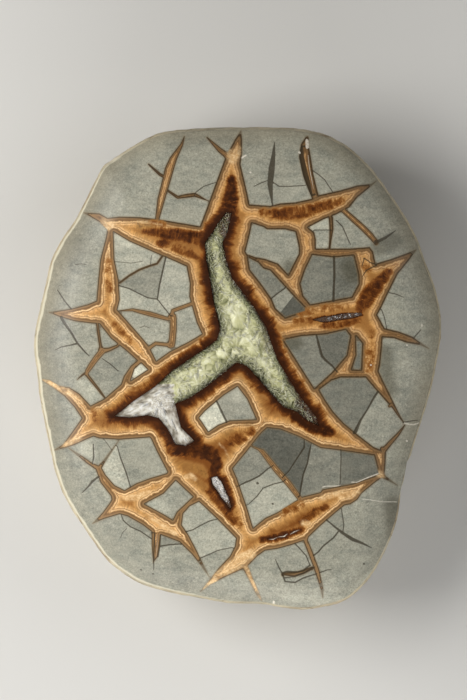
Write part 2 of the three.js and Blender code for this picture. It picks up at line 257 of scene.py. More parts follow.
# %% Draw the hairline cracks
CRACKS = [
    [(196, 193, 0.4), (204, 187, 0.4), (216, 183, 0.3)],
    [(254, 187, 0.3), (260, 184, 0.4), (268, 181, 0.4)],
    [(273, 183, 0.4), (279, 187, 0.4), (290, 187, 0.4), (305, 186, 0.3)],
    [(312, 171, 0.4), (318, 175, 0.4), (324, 180, 0.4), (332, 192, 0.4)],
    [(336, 221, 0.5), (342, 227, 0.5), (346, 236, 0.5), (350, 245, 0.3)],
    [(314, 230.5, 0.4), (329, 230.5, 0.4)],
    [(375, 243, 1.5), (385, 238, 1.3), (395, 231, 0.3)],
    [(120, 286, 0.5), (130, 289, 0.5), (140, 294, 0.5), (148, 298, 0.5), (158, 299.5, 0.5)],
    [(158, 299.5, 0.5), (163, 306, 0.5), (171, 316, 0.5)],
    [(166, 259, 0.8), (163, 272, 0.8), (160, 285, 0.8), (158, 299, 0.6)],
    [(151, 264, 0.3), (152, 256, 0.3)],
    [(116, 262, 0.2), (132, 263.5, 0.2), (143, 261.5, 0.2)],
    [(58, 290, 0.4), (62, 296, 0.5), (66, 302, 0.5), (72, 309, 0.5)],
    [(62, 318, 1.2), (68, 327, 1.1), (73, 334, 1), (78, 343, 0.9), (84, 350, 0.7), (90, 356, 0.4)],
    [(78, 343.5, 0.8), (70, 345.5, 0.6), (62, 347, 0.4), (56, 350, 0.2)],
    [(103, 358.5, 0.3), (111, 364, 0.4), (119, 371, 0.4)],
    [(389.5, 293, 0.4), (396, 294.5, 0.4), (403, 297.5, 0.2)],
    [(420, 330, 0.4), (413.5, 337.5, 0.5)],
    [(381, 310, 0.4), (384, 318, 0.4), (386, 329, 0.4)],
    [(140, 328, 0.2), (145, 326, 0.2), (150, 328, 0.2)],
    [(76, 265, 0.2), (82, 264, 0.2), (87, 265, 0.2)],
    [(118, 446, 0.4), (121, 457, 0.6), (124, 465, 0.6), (127, 473, 0.6), (130.7, 485.5, 0.5)],
    [(94, 443.5, 0.5), (94.5, 456, 0.7), (93.5, 462, 0.5)],
    [(98, 477, 1), (93, 481, 1.2), (89, 486, 0.8), (85, 490, 0.5), (82.5, 492.5, 0.2)],
    [(104, 438, 0.2), (107, 442, 0.2), (112, 449, 0.2)],
    [(122, 515, 0.4), (124, 520, 0.5), (131, 526, 0.5), (141, 530.5, 0.5), (152, 538, 0.5)],
    [(127, 528, 0.3), (123, 532, 0.3), (121, 537, 0.2)],
    [(160, 545.5, 0.6), (170, 543.8, 0.6), (182, 543, 0.5)],
    [(186, 531, 0.5), (193, 529, 0.5), (200, 525, 0.5), (210, 520, 0.5), (217, 518.5, 0.4)],
    [(201, 557, 0.5), (208, 554, 0.5), (218, 549.5, 0.4), (232, 546.5, 0.3)],
    [(237, 485.8, 0.4), (240, 484.5, 0.5), (246, 481.5, 0.8), (250, 480, 0.8), (259, 475.5, 0.8),
     (268, 468, 0.6), (271.5, 466, 0.4)],
    [(248.5, 503.5, 0.3), (257, 495.5, 0.5), (263, 487.5, 0.5), (273, 483.5, 0.5), (283, 481, 0.5)],
    [(304, 439, 0.3), (304, 447, 0.8), (296, 459, 0.6), (289, 470, 0.5), (284, 475, 0.6)],
    [(311, 443, 0.3), (309.5, 450, 0.8), (307, 463, 0.7), (303, 474, 0.7), (300.5, 488, 0.8),
     (299.5, 495, 0.6)],
    [(340.5, 449, 0.4), (340.5, 460, 0.4), (339.5, 485, 0.4)],
    [(377, 392, 1), (373, 398, 1), (367, 409, 0.7), (360, 420, 1), (355, 431, 1.8)],
    [(326, 519, 0.6), (335, 526.5, 0.8), (342, 532, 1.3), (352, 538.5, 1.7), (362, 542.5, 1.1),
     (371, 547, 0.3)],
    [(338.5, 530, 0.7), (333, 537, 0.7), (323, 545, 0.7), (318, 551, 0.7), (314, 554, 0.7)],
    [(341, 508, 0.4), (343.5, 524, 0.4), (342.5, 531, 0.4)],
    [(295, 543, 0.5), (299, 547, 0.5), (306, 555, 0.5), (310, 565, 0.5)],
    [(320, 571.5, 0.5), (327, 569, 0.4), (331, 568.5, 0.2)],
    [(275, 558, 0.3), (279, 567, 0.5), (283, 574, 0.6)],
    [(282.5, 572, 0.6), (286, 570.5, 0.8), (298, 571, 0.7), (303, 569.5, 0.8), (310, 564, 0.6)],
    [(283, 577, 0.5), (295, 575.5, 0.5), (305, 571, 0.5), (313, 566.5, 0.5)],
    [(282.5, 574, 0.6), (285, 580.5, 0.7), (295, 581.5, 0.7), (303, 577, 0.6), (314, 573.5, 0.5)],
    [(361.5, 266.5, 0.3), (363.8, 258.5, 0.5)],
    [(364, 258.5, 0.5), (370, 263, 0.5), (376, 265, 0.5)],
    [(361.7, 277, 0.2), (366, 270.5, 0.6), (376, 265.5, 0.4)],
    [(333.5, 257, 1.2), (334, 275, 1.2), (333.5, 285, 1.0), (333, 301, 1.2)],
    [(316, 335, 0.8), (318.5, 345, 1.2), (321.5, 356, 1.2), (325, 360, 1.1), (332, 366, 0.8),
     (337, 372, 0.6)],
    [(217.3, 402, 0.9), (222, 412, 1), (226.5, 421, 0.9)],
    [(271, 299, 0.6), (277, 294, 0.6), (284, 289, 0.6)],
    [(404, 422, 0.6), (408, 421, 0.4), (412, 420.5, 0.4), (417, 420, 0.3)],
    [(363, 563, 0.8), (364, 563.2, 0.8)],
    [(257, 482.3, 1.1), (258, 482.7, 1.1)],
    [(274.5, 143, 0.3), (273.5, 155, 1.8), (271.5, 170, 3.1), (270, 185, 2.7), (272, 203, 0.8)],
    [(302, 147, 0.8), (301.5, 158, 2.2), (304, 170, 2.6), (307.5, 183, 2.4), (311.5, 196, 1)],
    [(155, 532, 0.5), (154.5, 545, 0.7), (154, 560, 0.5), (154, 569, 0.3)],
    [(161, 534, 0.4), (160.3, 545, 0.5), (158.5, 556, 0.4)],
    [(272.2, 503, 0.8), (273, 503.2, 0.8)],
    [(141, 569, 0.6), (141.7, 569.2, 0.6)],
    [(153, 573, 0.6), (153.6, 573.2, 0.6)],
]
WHITE_LINES = [
    [(322, 486.5, 0.2), (325, 485.5, 0.3), (335, 485.5, 0.2), (340, 484.5, 0)],
    [(351, 481.5, 0.2), (356, 481.8, 0.2), (366, 477.5, 0.3), (378, 473, 0.3)],
    [(362, 498.5, 0.1), (370, 499.3, 0.2), (382, 501.2, 0.2), (399, 501.5, 0.3)],
    [(404, 422.8, 0.4), (408, 424, 0.5), (413, 424.5, 0.4), (418, 423, 0.4)],
    [(273.5, 601, 0.9), (273.5, 606, 1.2)],
    [(242, 158.5, 0.8), (246, 156, 0.6)],
    [(306.7, 141, 1.4), (307.2, 148, 1.5)],
    [(299, 153, 0.9), (299.4, 153.6, 0.9)],
    [(307.8, 156, 0), (309, 168, 0.05), (311.5, 181, 0.05), (313, 190, -0.2)],
    [(157.6, 534, -0.2), (157.2, 548, -0.1), (156.2, 557, -0.3)],
    [(250, 173, 0.7), (250.7, 173, 0.7)],
    [(382, 182, 0.7), (382.6, 182.3, 0.7)],
    [(421, 325, 0.8), (421.4, 326, 0.8)],
    [(406, 345, 0.6), (406.5, 345.4, 0.6)],
    [(406, 440.5, 0.8), (406.7, 440.7, 0.8)],
    [(370, 365, 0.6), (370.6, 365, 0.6)],
    [(269, 538.5, -0.2), (273, 538.5, 0.2), (277, 536.5, -0.2)],
    [(279, 536, -0.1), (284, 535.5, 0.3), (287, 533, -0.1)],
    [(290, 533.5, -0.1), (294, 531, 0.2), (299, 529, -0.2)],
]
TONE_EDGES = [[(276.5, 317.5, 0), (286.5, 304.5, 0), (296, 292.5, 0)]]
print("hairline cracks:", len(CRACKS), "white lines:", len(WHITE_LINES))

# %% [markdown]
# Inside the veins the calcite turns from gold to burnt brown towards the hollows and along dark
# seams. These places are strokes too, with soft edges, and each seam has its own strength. So are
# the places that stay gold, the pale grainy ones, and the darker and lighter patches of the stone.
# The last two lighter strokes are a painted sheen along the lower rim.

# %% Draw the dark seams and the soft patches
DARK_SEAMS = [
    (0.92, [(231.5, 180, 1), (231.5, 192, 3.2), (230, 205, 5.5), (226, 213, 5.5)]),
    (0.75, [(146, 231, 1), (160, 233.5, 2), (180, 236, 3.5), (200, 240, 5), (210, 236, 5)]),
    (0.5, [(262, 213, 1), (280, 215, 3.5), (300, 213, 4), (320, 208, 3), (340, 202, 1)]),
    (0.72, [(359, 309, 3), (367, 297, 5), (375, 286, 4.5), (388, 273, 1)]),
    (0.4, [(364, 266, 1), (368, 270, 1)]),
    (0.55, [(318, 324, 0.5), (330, 326, 1), (345, 323, 1), (358, 320, 1)]),
    (0.4, [(296, 322, 1), (310, 321, 1.5)]),
    (0.85, [(112, 418.5, 1), (125, 420, 1.5), (135, 419.5, 2), (150, 419, 2), (160, 422, 2.5)]),
    (0.85, [(163, 426, 2.5), (169, 437, 2.5), (175, 449, 4)]),
    (0.85, [(174, 449, 3.5), (188, 450.5, 5), (201, 451, 5.5), (213, 454, 4.5), (217, 463, 3),
            (212, 474, 2.5)]),
    (0.5, [(188, 459, 2), (198, 460, 2)]),
    (0.62, [(208, 488, 1), (217, 500, 1.5), (228, 511, 2), (234, 520, 1.5)]),
    (0.42, [(236, 512, 1), (239, 524, 1)]),
    (0.75, [(222, 478, 1.5), (229, 493, 1), (232, 505, 1)]),
    (0.42, [(228, 440, 1), (238, 433, 2), (244, 430, 1)]),
    (0.85, [(262, 538.5, 0.3), (275, 537, 0.8), (284, 534, 1), (293, 531, 0.8), (301, 529, 0.6)]),
    (0.55, [(301, 521, 1), (308, 516, 1.5), (316, 510, 1.5), (325, 506, 1)]),
    (1.0, [(292, 414, 1.5), (310, 425, 3.5), (325, 430, 3), (331, 432, 1)]),
    (0.38, [(115, 325, 0.5), (122, 332, 1), (131, 341, 0.5)]),
    (0.4, [(95, 411, 1), (97, 418, 2.5), (103, 423, 1)]),
    (0.45, [(163, 225, 0.5), (152, 224, 0.5)]),
    (0.32, [(300, 313, 1), (325, 309, 2), (350, 308, 2)]),
    (0.32, [(371, 330, 1), (370, 350, 3), (368, 368, 2)]),
    (0.3, [(109, 262, 1), (109, 275, 1.5), (110, 290, 1)]),
    (0.36, [(284, 512, 2), (300, 505, 2)]),
    (0.62, [(160, 243, 1), (182, 249, 2.5), (204, 257, 3)]),
    (0.55, [(230, 441, 3), (240, 437, 3.5), (250, 431, 2)]),
]
PALE_PLACES = [
    [(230, 153, 2), (233, 160, 3.5), (238, 150, 2)],
    [(104, 222, 2), (109, 225, 4.5), (113, 224, 2)],
    [(138, 222, -0.6), (150, 223, -0.3), (162, 225.5, -0.6)],
    [(246, 566, 1.2), (252, 580, 0.8), (258, 592, 0.4), (263, 604, 0.3)],
    [(216, 575, 2), (229, 567, 4), (243, 558, 5), (252, 552, 3)],
    [(205, 587, 1.5), (215, 580, 2)],
    [(123, 497, 1), (135, 497, 2), (150, 491, 1)],
    [(150, 516, 0.5), (163, 524, 1), (176, 533, 1)],
    [(186.5, 476.5, 0.8), (191, 475.5, 1.5), (195, 478, 0.8)],
    [(340, 497, 1), (350, 495, 2.5), (357, 491, 1)],
    [(219, 443, -1), (225, 449, -0.8), (228.5, 457, -0.8), (227.5, 467, -1)],
    [(303, 522, 1.5), (308, 523, 1.2)],
    [(322, 497, 1), (334, 494, 1.2), (345, 490, 1)],
    [(44, 379, 1), (56, 385, 1.5), (68, 392, 1.5), (82, 402, 1)],
    [(65, 444.5, 0.8), (80, 437, 1.2)],
    [(378, 473, 2), (382, 475, 2)],
]
GOLD_PLACES = [
    (0.8, [(182, 464, 1.5), (191, 467, 2), (200, 469, 2), (205, 474, 1)]),
    (0.5, [(170, 245, 1), (185, 248, 2), (200, 252, 2)]),
    (0.8, [(140, 226, 1), (152, 227, 1)]),
    (0.5, [(226, 436, 1), (236, 430, 1.5), (248, 426, 2)]),
    (0.6, [(196, 480, 1), (204, 486, 1)]),
    (0.3, [(112, 406, 2), (128, 398, 2.5), (146, 387, 2.5), (164, 372, 2.5)]),
    (0.3, [(122, 425, 1), (140, 424, 1.5), (156, 425, 1)]),
    (0.3, [(96, 412, 3), (104, 416, 3)]),
]
DARK_PATCHES = [
    [(378, 248, 3), (392, 242, 4)],
    [(290, 267, 3), (288, 272, 2)],
    [(350, 268, 5), (352, 275, 4)],
    [(392, 505, 4), (396, 545, 3)],
    [(384, 352, 2.5), (385, 372, 3), (388, 390, 3)],
    [(289, 343, 2), (296, 343, 2)],
]
PALE_PATCHES_AND_RIM_SHEEN = [
    [(83, 383, 1), (92, 393, 5)],
    [(152, 504, 2), (163, 506, 3)],
    [(85, 447, 3), (90, 452, 3)],
    [(237.5, 389, 1), (237, 396, 2)],
    [(119, 236, 1.5), (128, 244, 2)],
    # The last two strokes are a painted sheen of the low light along the lower rim.
    [(350, 593, 1), (360, 585, 2), (370, 574, 1)],
    [(286, 597, 1), (318, 600.5, 2), (350, 598, 1.5)],
]
print("dark seams:", len(DARK_SEAMS), "pale places:", len(PALE_PLACES))

# %% [markdown]
# The three hollows. Their rims are the ones that the solid has, so the crystals sit where the
# solid's crystals sit. Depths are real sizes. The burnt zone round a hollow starts a few pixels out
# from its rim and falls off slowly round the main hollow and fast round the small ones.

# %% Draw the hollows
SEAM_RIM = [
    (232, 213), (226, 213), (219, 222), (213, 232), (205, 243), (206, 260), (210, 280),
    (213, 300), (218, 320), (220, 330), (217, 340), (200, 352), (171.5, 371), (155, 386.5),
    (134, 400.5), (122.5, 410), (115, 416), (130.5, 417.5), (148, 415), (159, 418),
    (167.5, 428), (175.5, 444), (186, 445.5), (195, 440.5), (181.5, 427), (179.5, 419),
    (175.5, 403.7), (190, 397.6), (206, 387), (222.5, 374), (237, 362.5), (247, 366),
    (257.5, 378), (272, 395), (283.5, 407), (297, 411.6), (305, 419), (319, 426),
    (314.6, 415), (300.5, 397.3), (289.6, 380.4), (278, 361), (272, 346), (266.7, 328),
    (254, 307.5), (243, 293), (233, 280), (226, 260), (223, 243), (228, 232),
]
POCKET_RIM = [
    (211, 477), (217, 475.4), (221.6, 480.7), (225.2, 488.8), (228.8, 496), (231.4, 505.7),
    (230.5, 509), (221.6, 497.7), (215.4, 488.8), (211.8, 483.4),
]
SLIT_RIM = [
    (312, 319.8), (321, 317), (331, 315.6), (341, 313.6), (351, 312.8), (361, 312.6),
    (362, 315.6), (351, 318.6), (341, 320), (331, 321.8), (321, 322.6),
]
HOLLOWS = {
    "seam_crystals": {"rim": SEAM_RIM, "deep": 0.012, "burn_start": 0.0, "burn_fall": 1.0},
    "pocket_crystals": {"rim": POCKET_RIM, "deep": 0.008, "burn_start": 1.5, "burn_fall": 1.7},
    "slit_crystals": {"rim": SLIT_RIM, "deep": 0.006, "burn_start": 6.0, "burn_fall": 2.6},
}
print("hollows:", list(HOLLOWS))

# %% [markdown]
# Distances do the painting. For every point of the face the script finds how deep it lies inside
# a vein, or how far outside. A material can then lay its bands at set depths, as the calcite
# itself grew in layers from the walls. The nearest place on the wall is kept as well, because the
# fibres of the calcite start there.

# %% Measure distances to segments
CHUNK = 3000


def densify(points, step, closed=True):
    """Puts more points along a line, no further apart than the step."""
    corners = np.asarray(points, float)
    ends = np.roll(corners, -1, axis=0) if closed else corners[1:]
    rows = []
    for a, b in zip(corners, ends):
        count = max(1, math.ceil(np.hypot(*(b - a)[:2]) / step))
        rows += [a + (b - a) * k / count for k in range(count)]
    return np.array(rows if closed else rows + [corners[-1]])


def nearest_on(points, starts, ends):
    """For each point the distance to the nearest segment, its number and the place on it."""
    side = ends - starts
    square = np.maximum((side[:, :2]**2).sum(1), 1e-12)
    found = []
    for low in range(0, len(points), CHUNK):
        part = points[low:low + CHUNK, None, :] - starts[None, :, :2]
        along = np.clip((part * side[:, :2]).sum(2) / square, 0, 1)
        gap = np.hypot(part[..., 0] - along * side[:, 0], part[..., 1] - along * side[:, 1])
        best = gap.argmin(1)
        rows = np.arange(len(best))
        found.append((gap[rows, best], best, along[rows, best]))
    distance, which, share = (np.concatenate(column) for column in zip(*found))
    return distance, which, starts[which] + side[which] * share[:, None]


print("distances are taken for", CHUNK, "points at a time")

# %% Measure depth in loops and in strokes
NO_STROKE = -99.0
STROKE_REACH = 25


def inside_loops(points, loops):
    """Whether a point is inside an odd number of loops, so that islands count as outside."""
    inside = np.zeros(len(points), bool)
    x, y = points.T
    for loop in loops:
        corners = np.asarray(loop, float)
        for (ax, ay), (bx, by) in zip(corners, np.roll(corners, -1, axis=0)):
            if ay != by:
                inside ^= ((ay > y) != (by > y)) & (x < ax + (y - ay) / (by - ay) * (bx - ax))
    return inside


def loop_depth(points, loops):
    """Signed distance to the loops' edges, above zero inside, and the nearest edge point."""
    loops = [np.asarray(loop, float) for loop in loops]
    ends = np.concatenate([np.roll(loop, -1, axis=0) for loop in loops])
    distance, _, root = nearest_on(points, np.concatenate(loops), ends)
    return np.where(inside_loops(points, loops), distance, -distance), root


def stroke_depth(points, strokes):
    """The same for strokes: half the width at the nearest place less the distance from it."""
    depth = np.full(len(points), NO_STROKE)
    root = np.zeros((len(points), 2))
    for stroke in strokes:
        line = np.asarray(stroke, float)
        reach = np.ptp(line[:, :2], axis=0).sum() + STROKE_REACH
        rows = np.flatnonzero(np.hypot(*(points - line[:, :2].mean(0)).T) < reach)
        if not len(rows):
            continue
        distance, _, middle = nearest_on(points[rows], line[:-1], line[1:])
        value = middle[:, 2] - distance
        away = (points[rows] - middle[:, :2]) / np.maximum(distance, 1e-6)[:, None]
        better = value > depth[rows]
        depth[rows[better]] = value[better]
        root[rows[better]] = (middle[:, :2] + away * middle[:, 2:3])[better]
    return depth, root


VEIN_LOOPS = [STAR] + list(ISLANDS.values())
HOLLOW_LOOPS = [hollow["rim"] for hollow in HOLLOWS.values()]
print("vein loops:", len(VEIN_LOOPS))

# %% [markdown]
# A real crack never ends just short of the next one. Each end of a drawn line that stops close
# to a vein or to another line is carried on until it meets it.

# %% Join the loose ends
TOUCHING = 0.05
JOIN_GAP = 3.2
JOIN_OVERLAP = 0.4


def join_ends(strokes):
    """Carries each end of a line on to the vein or line that it stops just short of."""
    loops = [np.array(loop + loop[:1], float) for loop in VEIN_LOOPS]
    lines = [np.asarray(stroke, float) for stroke in strokes]
    joined = []
    for number, line in enumerate(lines):
        others = [other[:, :2] for other in loops + lines[:number] + lines[number + 1:]]
        starts = np.concatenate([other[:-1] for other in others])
        ends = np.concatenate([other[1:] for other in others])
        for _ in range(2):
            distance, _, target = nearest_on(line[-1:, :2], starts, ends)
            if TOUCHING < distance[0] < JOIN_GAP:
                target = target[0] + (target[0] - line[-1, :2]) / distance[0] * JOIN_OVERLAP
                line = np.vstack([line, [*target, line[-1, 2]]])
            line = line[::-1]
        joined.append(line)
    return joined


joined = join_ends([stroke for _, stroke in THIN_VEINS] + CRACKS)
THIN_VEINS = [(stretch, line) for (stretch, _), line in zip(THIN_VEINS, joined)]
CRACKS = joined[len(THIN_VEINS):]


def vein_fields(points):
    """Depth in the veins, the same stretched for the bands of thin veins, and the fibre's root."""
    depth, root = loop_depth(points, VEIN_LOOPS)
    band = depth.copy()
    for stretch, stroke in THIN_VEINS:
        value, edge = stroke_depth(points, [stroke])
        better = value > depth
        depth = np.where(better, value, depth)
        band = np.where(better, value * np.where(value > 0, stretch, 1), band)
        root = np.where(better[:, None], edge, root)
    return depth, band, root


print("a test point lies", round(float(vein_fields(np.array([[105.0, 270.0]]))[0][0]), 2),
      "pixels deep in its vein")

# %% [markdown]
# The form of the stone. The polished face has a slight crown and rolls over at the rim. Under the
# rim the natural skin bulges to a belt and curves in to a sawn flat that the stone rests on. A
# place on the form is given by its share of the way from the middle to the outline, so each ring of
# the skin is the outline made smaller, less a few long lumps and fine pits.

# %% Shape the face
CROWN = 0.003
ROLL = 0.009
ROLL_POWER = 12
FACE_SHARE = 0.985
CHIP_STEP = 0.5
NO_LIMIT = 1e9

chip_angle, chip_reach = (row[::-1] for row in from_middle(densify(CHIPPED_EDGE, CHIP_STEP, False)))


def chip_limit(angle):
    """How far from the middle the chipped edge lets the stone go."""
    return np.interp(angle, chip_angle, chip_reach, left=NO_LIMIT, right=NO_LIMIT)


def height_at(share):
    return STONE_HEIGHT - CROWN * share**2 - ROLL * share**ROLL_POWER


def face_height(pixels):
    """Height of the polished face over a pixel."""
    distance, reach = outline_reach(pixels)
    return height_at(distance / reach)


def ring_at(share, sunk=0.0):
    """One ring of the stone in pixels, kept inside the chipped edge."""
    reach = np.minimum(rim_reach * share - np.asarray(sunk) / PIXEL, chip_limit(rim_angle))
    return snap(PHOTO_MIDDLE + (rim - PHOTO_MIDDLE) * (reach / rim_reach)[:, None])


face_edge = ring_at(FACE_SHARE)
rim_height = height_at(FACE_SHARE)
print("the face meets the skin", round(rim_height * 1000, 1), "mm up")

# %% Shape the skin
BELT_HEIGHT = 0.036
BASE_SHARE = 0.62
LUMP_WAVES = [
    (0.047, 10, 20, 0.0010), (0.033, 75, -35, 0.0008), (0.024, 140, 40, 0.0006),
    (0.017, 35, 65, 0.00045), (0.012, 110, 10, 0.0003),
]
SHOULDER_ROWS = 6
SKIN_ROWS = 34
PIT_DEPTH = 0.0007
PIT_NOISES = [(0.6, 260), (0.4, 700)]
EASE_ROWS = 4
LAST_ROW_EASE = 0.25


def lump_depth(x, y, z):
    """How far the skin sinks under its smooth form, as a sum of waves of set length and compass."""
    total = 0.0
    for length, compass, slope, depth in LUMP_WAVES:
        turn, tilt = math.radians(compass), math.radians(slope)
        along = (x * math.cos(turn) + y * math.sin(turn)) * math.cos(tilt) + z * math.sin(tilt)
        total = total + depth * np.sin(2 * math.pi * along / length)
    return (total + sum(depth for *_, depth in LUMP_WAVES)) / 2


def skin_pits(points):
    """Fine roughness of the natural skin, worked out point by point."""
    values = [sum(share * noise.noise(p * size) for share, size in PIT_NOISES)
              for p in map(Vector, points)]
    return PIT_DEPTH * (0.5 + 0.5 * np.array(values))


skin_rings = [in_space(face_edge, face_height(face_edge))]
rim_metres = on_face(rim)
last_row = SHOULDER_ROWS + SKIN_ROWS
for row in range(1, last_row + 1):
    if row <= SHOULDER_ROWS:
        turn = row / SHOULDER_ROWS
        share = FACE_SHARE + (1 - FACE_SHARE) * (1 - (1 - turn) ** 2)
        height, sunk = rim_height + (BELT_HEIGHT - rim_height) * turn, 0.0
    else:
        angle = math.pi / 2 * (1 - (row - SHOULDER_ROWS) / SKIN_ROWS)
        share = BASE_SHARE + (1 - BASE_SHARE) * math.sin(angle)
        height = BELT_HEIGHT * (1 - math.cos(angle))
        sunk = lump_depth(rim_metres[:, 0], rim_metres[:, 1], height) * math.sin(2 * angle)
    smooth = in_space(ring_at(share, sunk), height)
    ease = min(1.0, row / EASE_ROWS) * (LAST_ROW_EASE if row == last_row else 1.0)
    skin_rings.append(in_space(ring_at(share, sunk + skin_pits(smooth) * ease), height))
skin_rings = np.array(skin_rings)
print("skin rows:", skin_rings.shape[0], "columns:", skin_rings.shape[1])

# %% [markdown]
# The face could be a plain grid, but a grid cuts thin lines into steps. Here the drawn lines are
# laid into the mesh as edges and the space between is filled with points, close together in the
# veins and wide apart on the plain stone. A constrained triangulation then joins them all.

# %% Helpers for laying lines into a mesh
LINE_STEP = 2.2
GRID = 0.5
GRID_MARGIN = 8
HONEYCOMB = 0.866
EDGE_GUARD = 0.983


def along_stroke(stroke, sides, extra=0.0):
    """Lines along a stroke: -1 and 1 are its two edges and 0 is its middle."""
    line = densify(stroke, LINE_STEP, closed=False)
    along = np.gradient(line[:, :2], axis=0)
    across = np.column_stack([-along[:, 1], along[:, 0]]) / np.hypot(*along.T)[:, None]
    return [line[:, :2] + across * (line[:, 2:3] + extra) * side for side in sides]


def near_lines(points, lines, gap):
    """Whether a point is closer than the gap to any line, looked up in a coarse grid."""
    taken = np.zeros((PHOTO_SIZE / GRID).astype(int) + GRID_MARGIN, bool)
    cells = np.concatenate([densify(line, GRID, closed) for line, closed in lines])
    cells = (cells / GRID).astype(int)
    reach = int(round(gap / GRID))
    for dx in range(-reach, reach + 1):
        for dy in range(-reach, reach + 1):
            if dx * dx + dy * dy <= reach * reach:
                taken[cells[:, 0] + dx, cells[:, 1] + dy] = True
    spots = (points / GRID).astype(int)
    return taken[spots[:, 0], spots[:, 1]]


def lattice(step, low, high, shake, seed):
    """Points in a honeycomb, each moved a little so that no grid shows."""
    rows = []
    for k, y in enumerate(np.arange(low[1], high[1], step * HONEYCOMB)):
        xs = np.arange(low[0], high[0], step) + (k % 2) * step / 2
        rows.append(np.column_stack([xs, np.full(len(xs), y)]))
    points = np.concatenate(rows)
    return points + np.random.default_rng(seed).uniform(-shake, shake, points.shape) * step


def inner_lines(lines):
    """Only the stretches of line that stay clear of the rim of the face."""
    kept = []
    for line, closed in lines:
        distance, reach = outline_reach(line)
        clear = distance < np.minimum(reach, chip_limit(from_middle(line)[0])) * EDGE_GUARD
        if clear.all():
            kept.append((line, closed))
            continue
        print("  a line leaves the face near", line[~clear][0].round(1))
        start = -np.flatnonzero(~clear)[0] if closed else 0
        turned, clear = np.roll(line, start, axis=0), np.roll(clear, start)
        runs = np.split(np.arange(len(turned)), np.flatnonzero(np.diff(clear.astype(int))) + 1)
        kept += [(turned[run], False) for run in runs if clear[run[0]] and len(run) > 1]
    return kept


def triangulate(lines, loose):
    """Joins lines and loose points into triangles and tells which edges belong to a line."""
    corners, edges = [], []
    for line, closed in lines:
        first = len(corners)
        corners += [Vector(p) for p in line]
        edges += [(first + k, first + k + 1) for k in range(len(line) - 1)]
        if closed:
            edges.append((first + len(line) - 1, first))
    corners += [Vector(p) for p in loose]
    made = geometry.delaunay_2d_cdt(corners, edges, [], 0, 1e-4, True)
    points = np.array([tuple(p) for p in made[0]])
    faces = np.array(made[2])
    drawn = {tuple(sorted(edge)) for edge, source in zip(made[1], made[4]) if source}
    flat = points[faces]
    side = np.cross(flat[:, 1] - flat[:, 0], flat[:, 2] - flat[:, 0])
    faces, side = faces[np.abs(side) > 1e-5], side[np.abs(side) > 1e-5]
    faces[side > 0] = faces[side > 0][:, ::-1]
    return points, faces, drawn


print("a stroke has", len(along_stroke(CRACKS[0], (-1, 1))), "sides")

# %% Gather the lines and the loose points
FINE_STEP = 1.7
FINE_SHAKE = 0.16
RIM_STEP = 1.8
RIM_CLEAR = 1.2
PLAIN_SHARE = 0.3
VEIN_MARGIN = 2.5
ROLL_START = 0.965
CRACK_SIDE = 0.9
POINT_GAP, SIDE_GAP = 1.0, 0.5

vein_lines = [(densify(loop, LINE_STEP), True) for loop in VEIN_LOOPS]
vein_lines += [(line, False) for _, stroke in THIN_VEINS for line in along_stroke(stroke, (-1, 0, 1))]
fine_strokes = CRACKS + WHITE_LINES
crack_lines = [(densify(line, LINE_STEP, closed=False)[:, :2], False)
               for line in fine_strokes + TONE_EDGES]
rim_lines = [(snap(densify(loop, RIM_STEP)), True) for loop in HOLLOW_LOOPS]
drawn_lines = inner_lines(vein_lines + crack_lines)

fine = lattice(FINE_STEP, rim.min(0), rim.max(0), FINE_SHAKE, seed=3)
distance, reach = outline_reach(fine)
limit = np.minimum(reach * FACE_SHARE, chip_limit(from_middle(fine)[0])) - RIM_CLEAR
fine = fine[(distance < limit) & ~inside_loops(fine, HOLLOW_LOOPS)]
depth, _, _ = vein_fields(fine)
distance, reach = outline_reach(fine)
some = np.random.default_rng(5).random(len(fine)) < PLAIN_SHARE
wanted = (depth > -VEIN_MARGIN) | (distance > reach * ROLL_START) | some
fine = fine[wanted & ~near_lines(fine, drawn_lines + rim_lines, POINT_GAP)]

crack_sides = np.concatenate([side for stroke in fine_strokes
                              for side in along_stroke(stroke, (-1, 1), CRACK_SIDE)])
crack_sides = crack_sides[~inside_loops(crack_sides, HOLLOW_LOOPS)]
distance, reach = outline_reach(crack_sides)
crack_sides = crack_sides[(distance < reach * EDGE_GUARD)
                          & ~near_lines(crack_sides, drawn_lines + rim_lines, SIDE_GAP)]
print("lines:", len(drawn_lines), "loose points:", len(fine) + len(crack_sides))

# %% Join them into triangles
face_points, face_faces, drawn_edges = triangulate(
    [(face_edge, True)] + rim_lines + drawn_lines, np.concatenate([fine, crack_sides]))
centres = face_points[face_faces].mean(1)
face_faces = face_faces[inside_loops(centres, [face_edge]) & ~inside_loops(centres, HOLLOW_LOOPS)]
print("face points:", len(face_points), "triangles:", len(face_faces))

# %% [markdown]
# Hairline cracks and veins split the grey stone into blocks, and each block took up a little more
# or less iron, so the greys differ from block to block. The tones also carry a painted falloff of
# light, set lighter towards the left and darker towards the right. The triangles are flooded from
# listed seeds up to the drawn lines, the way a paint program fills an outlined shape. A seed is a
# pixel and a tone, and where there is no seed the tone is one.

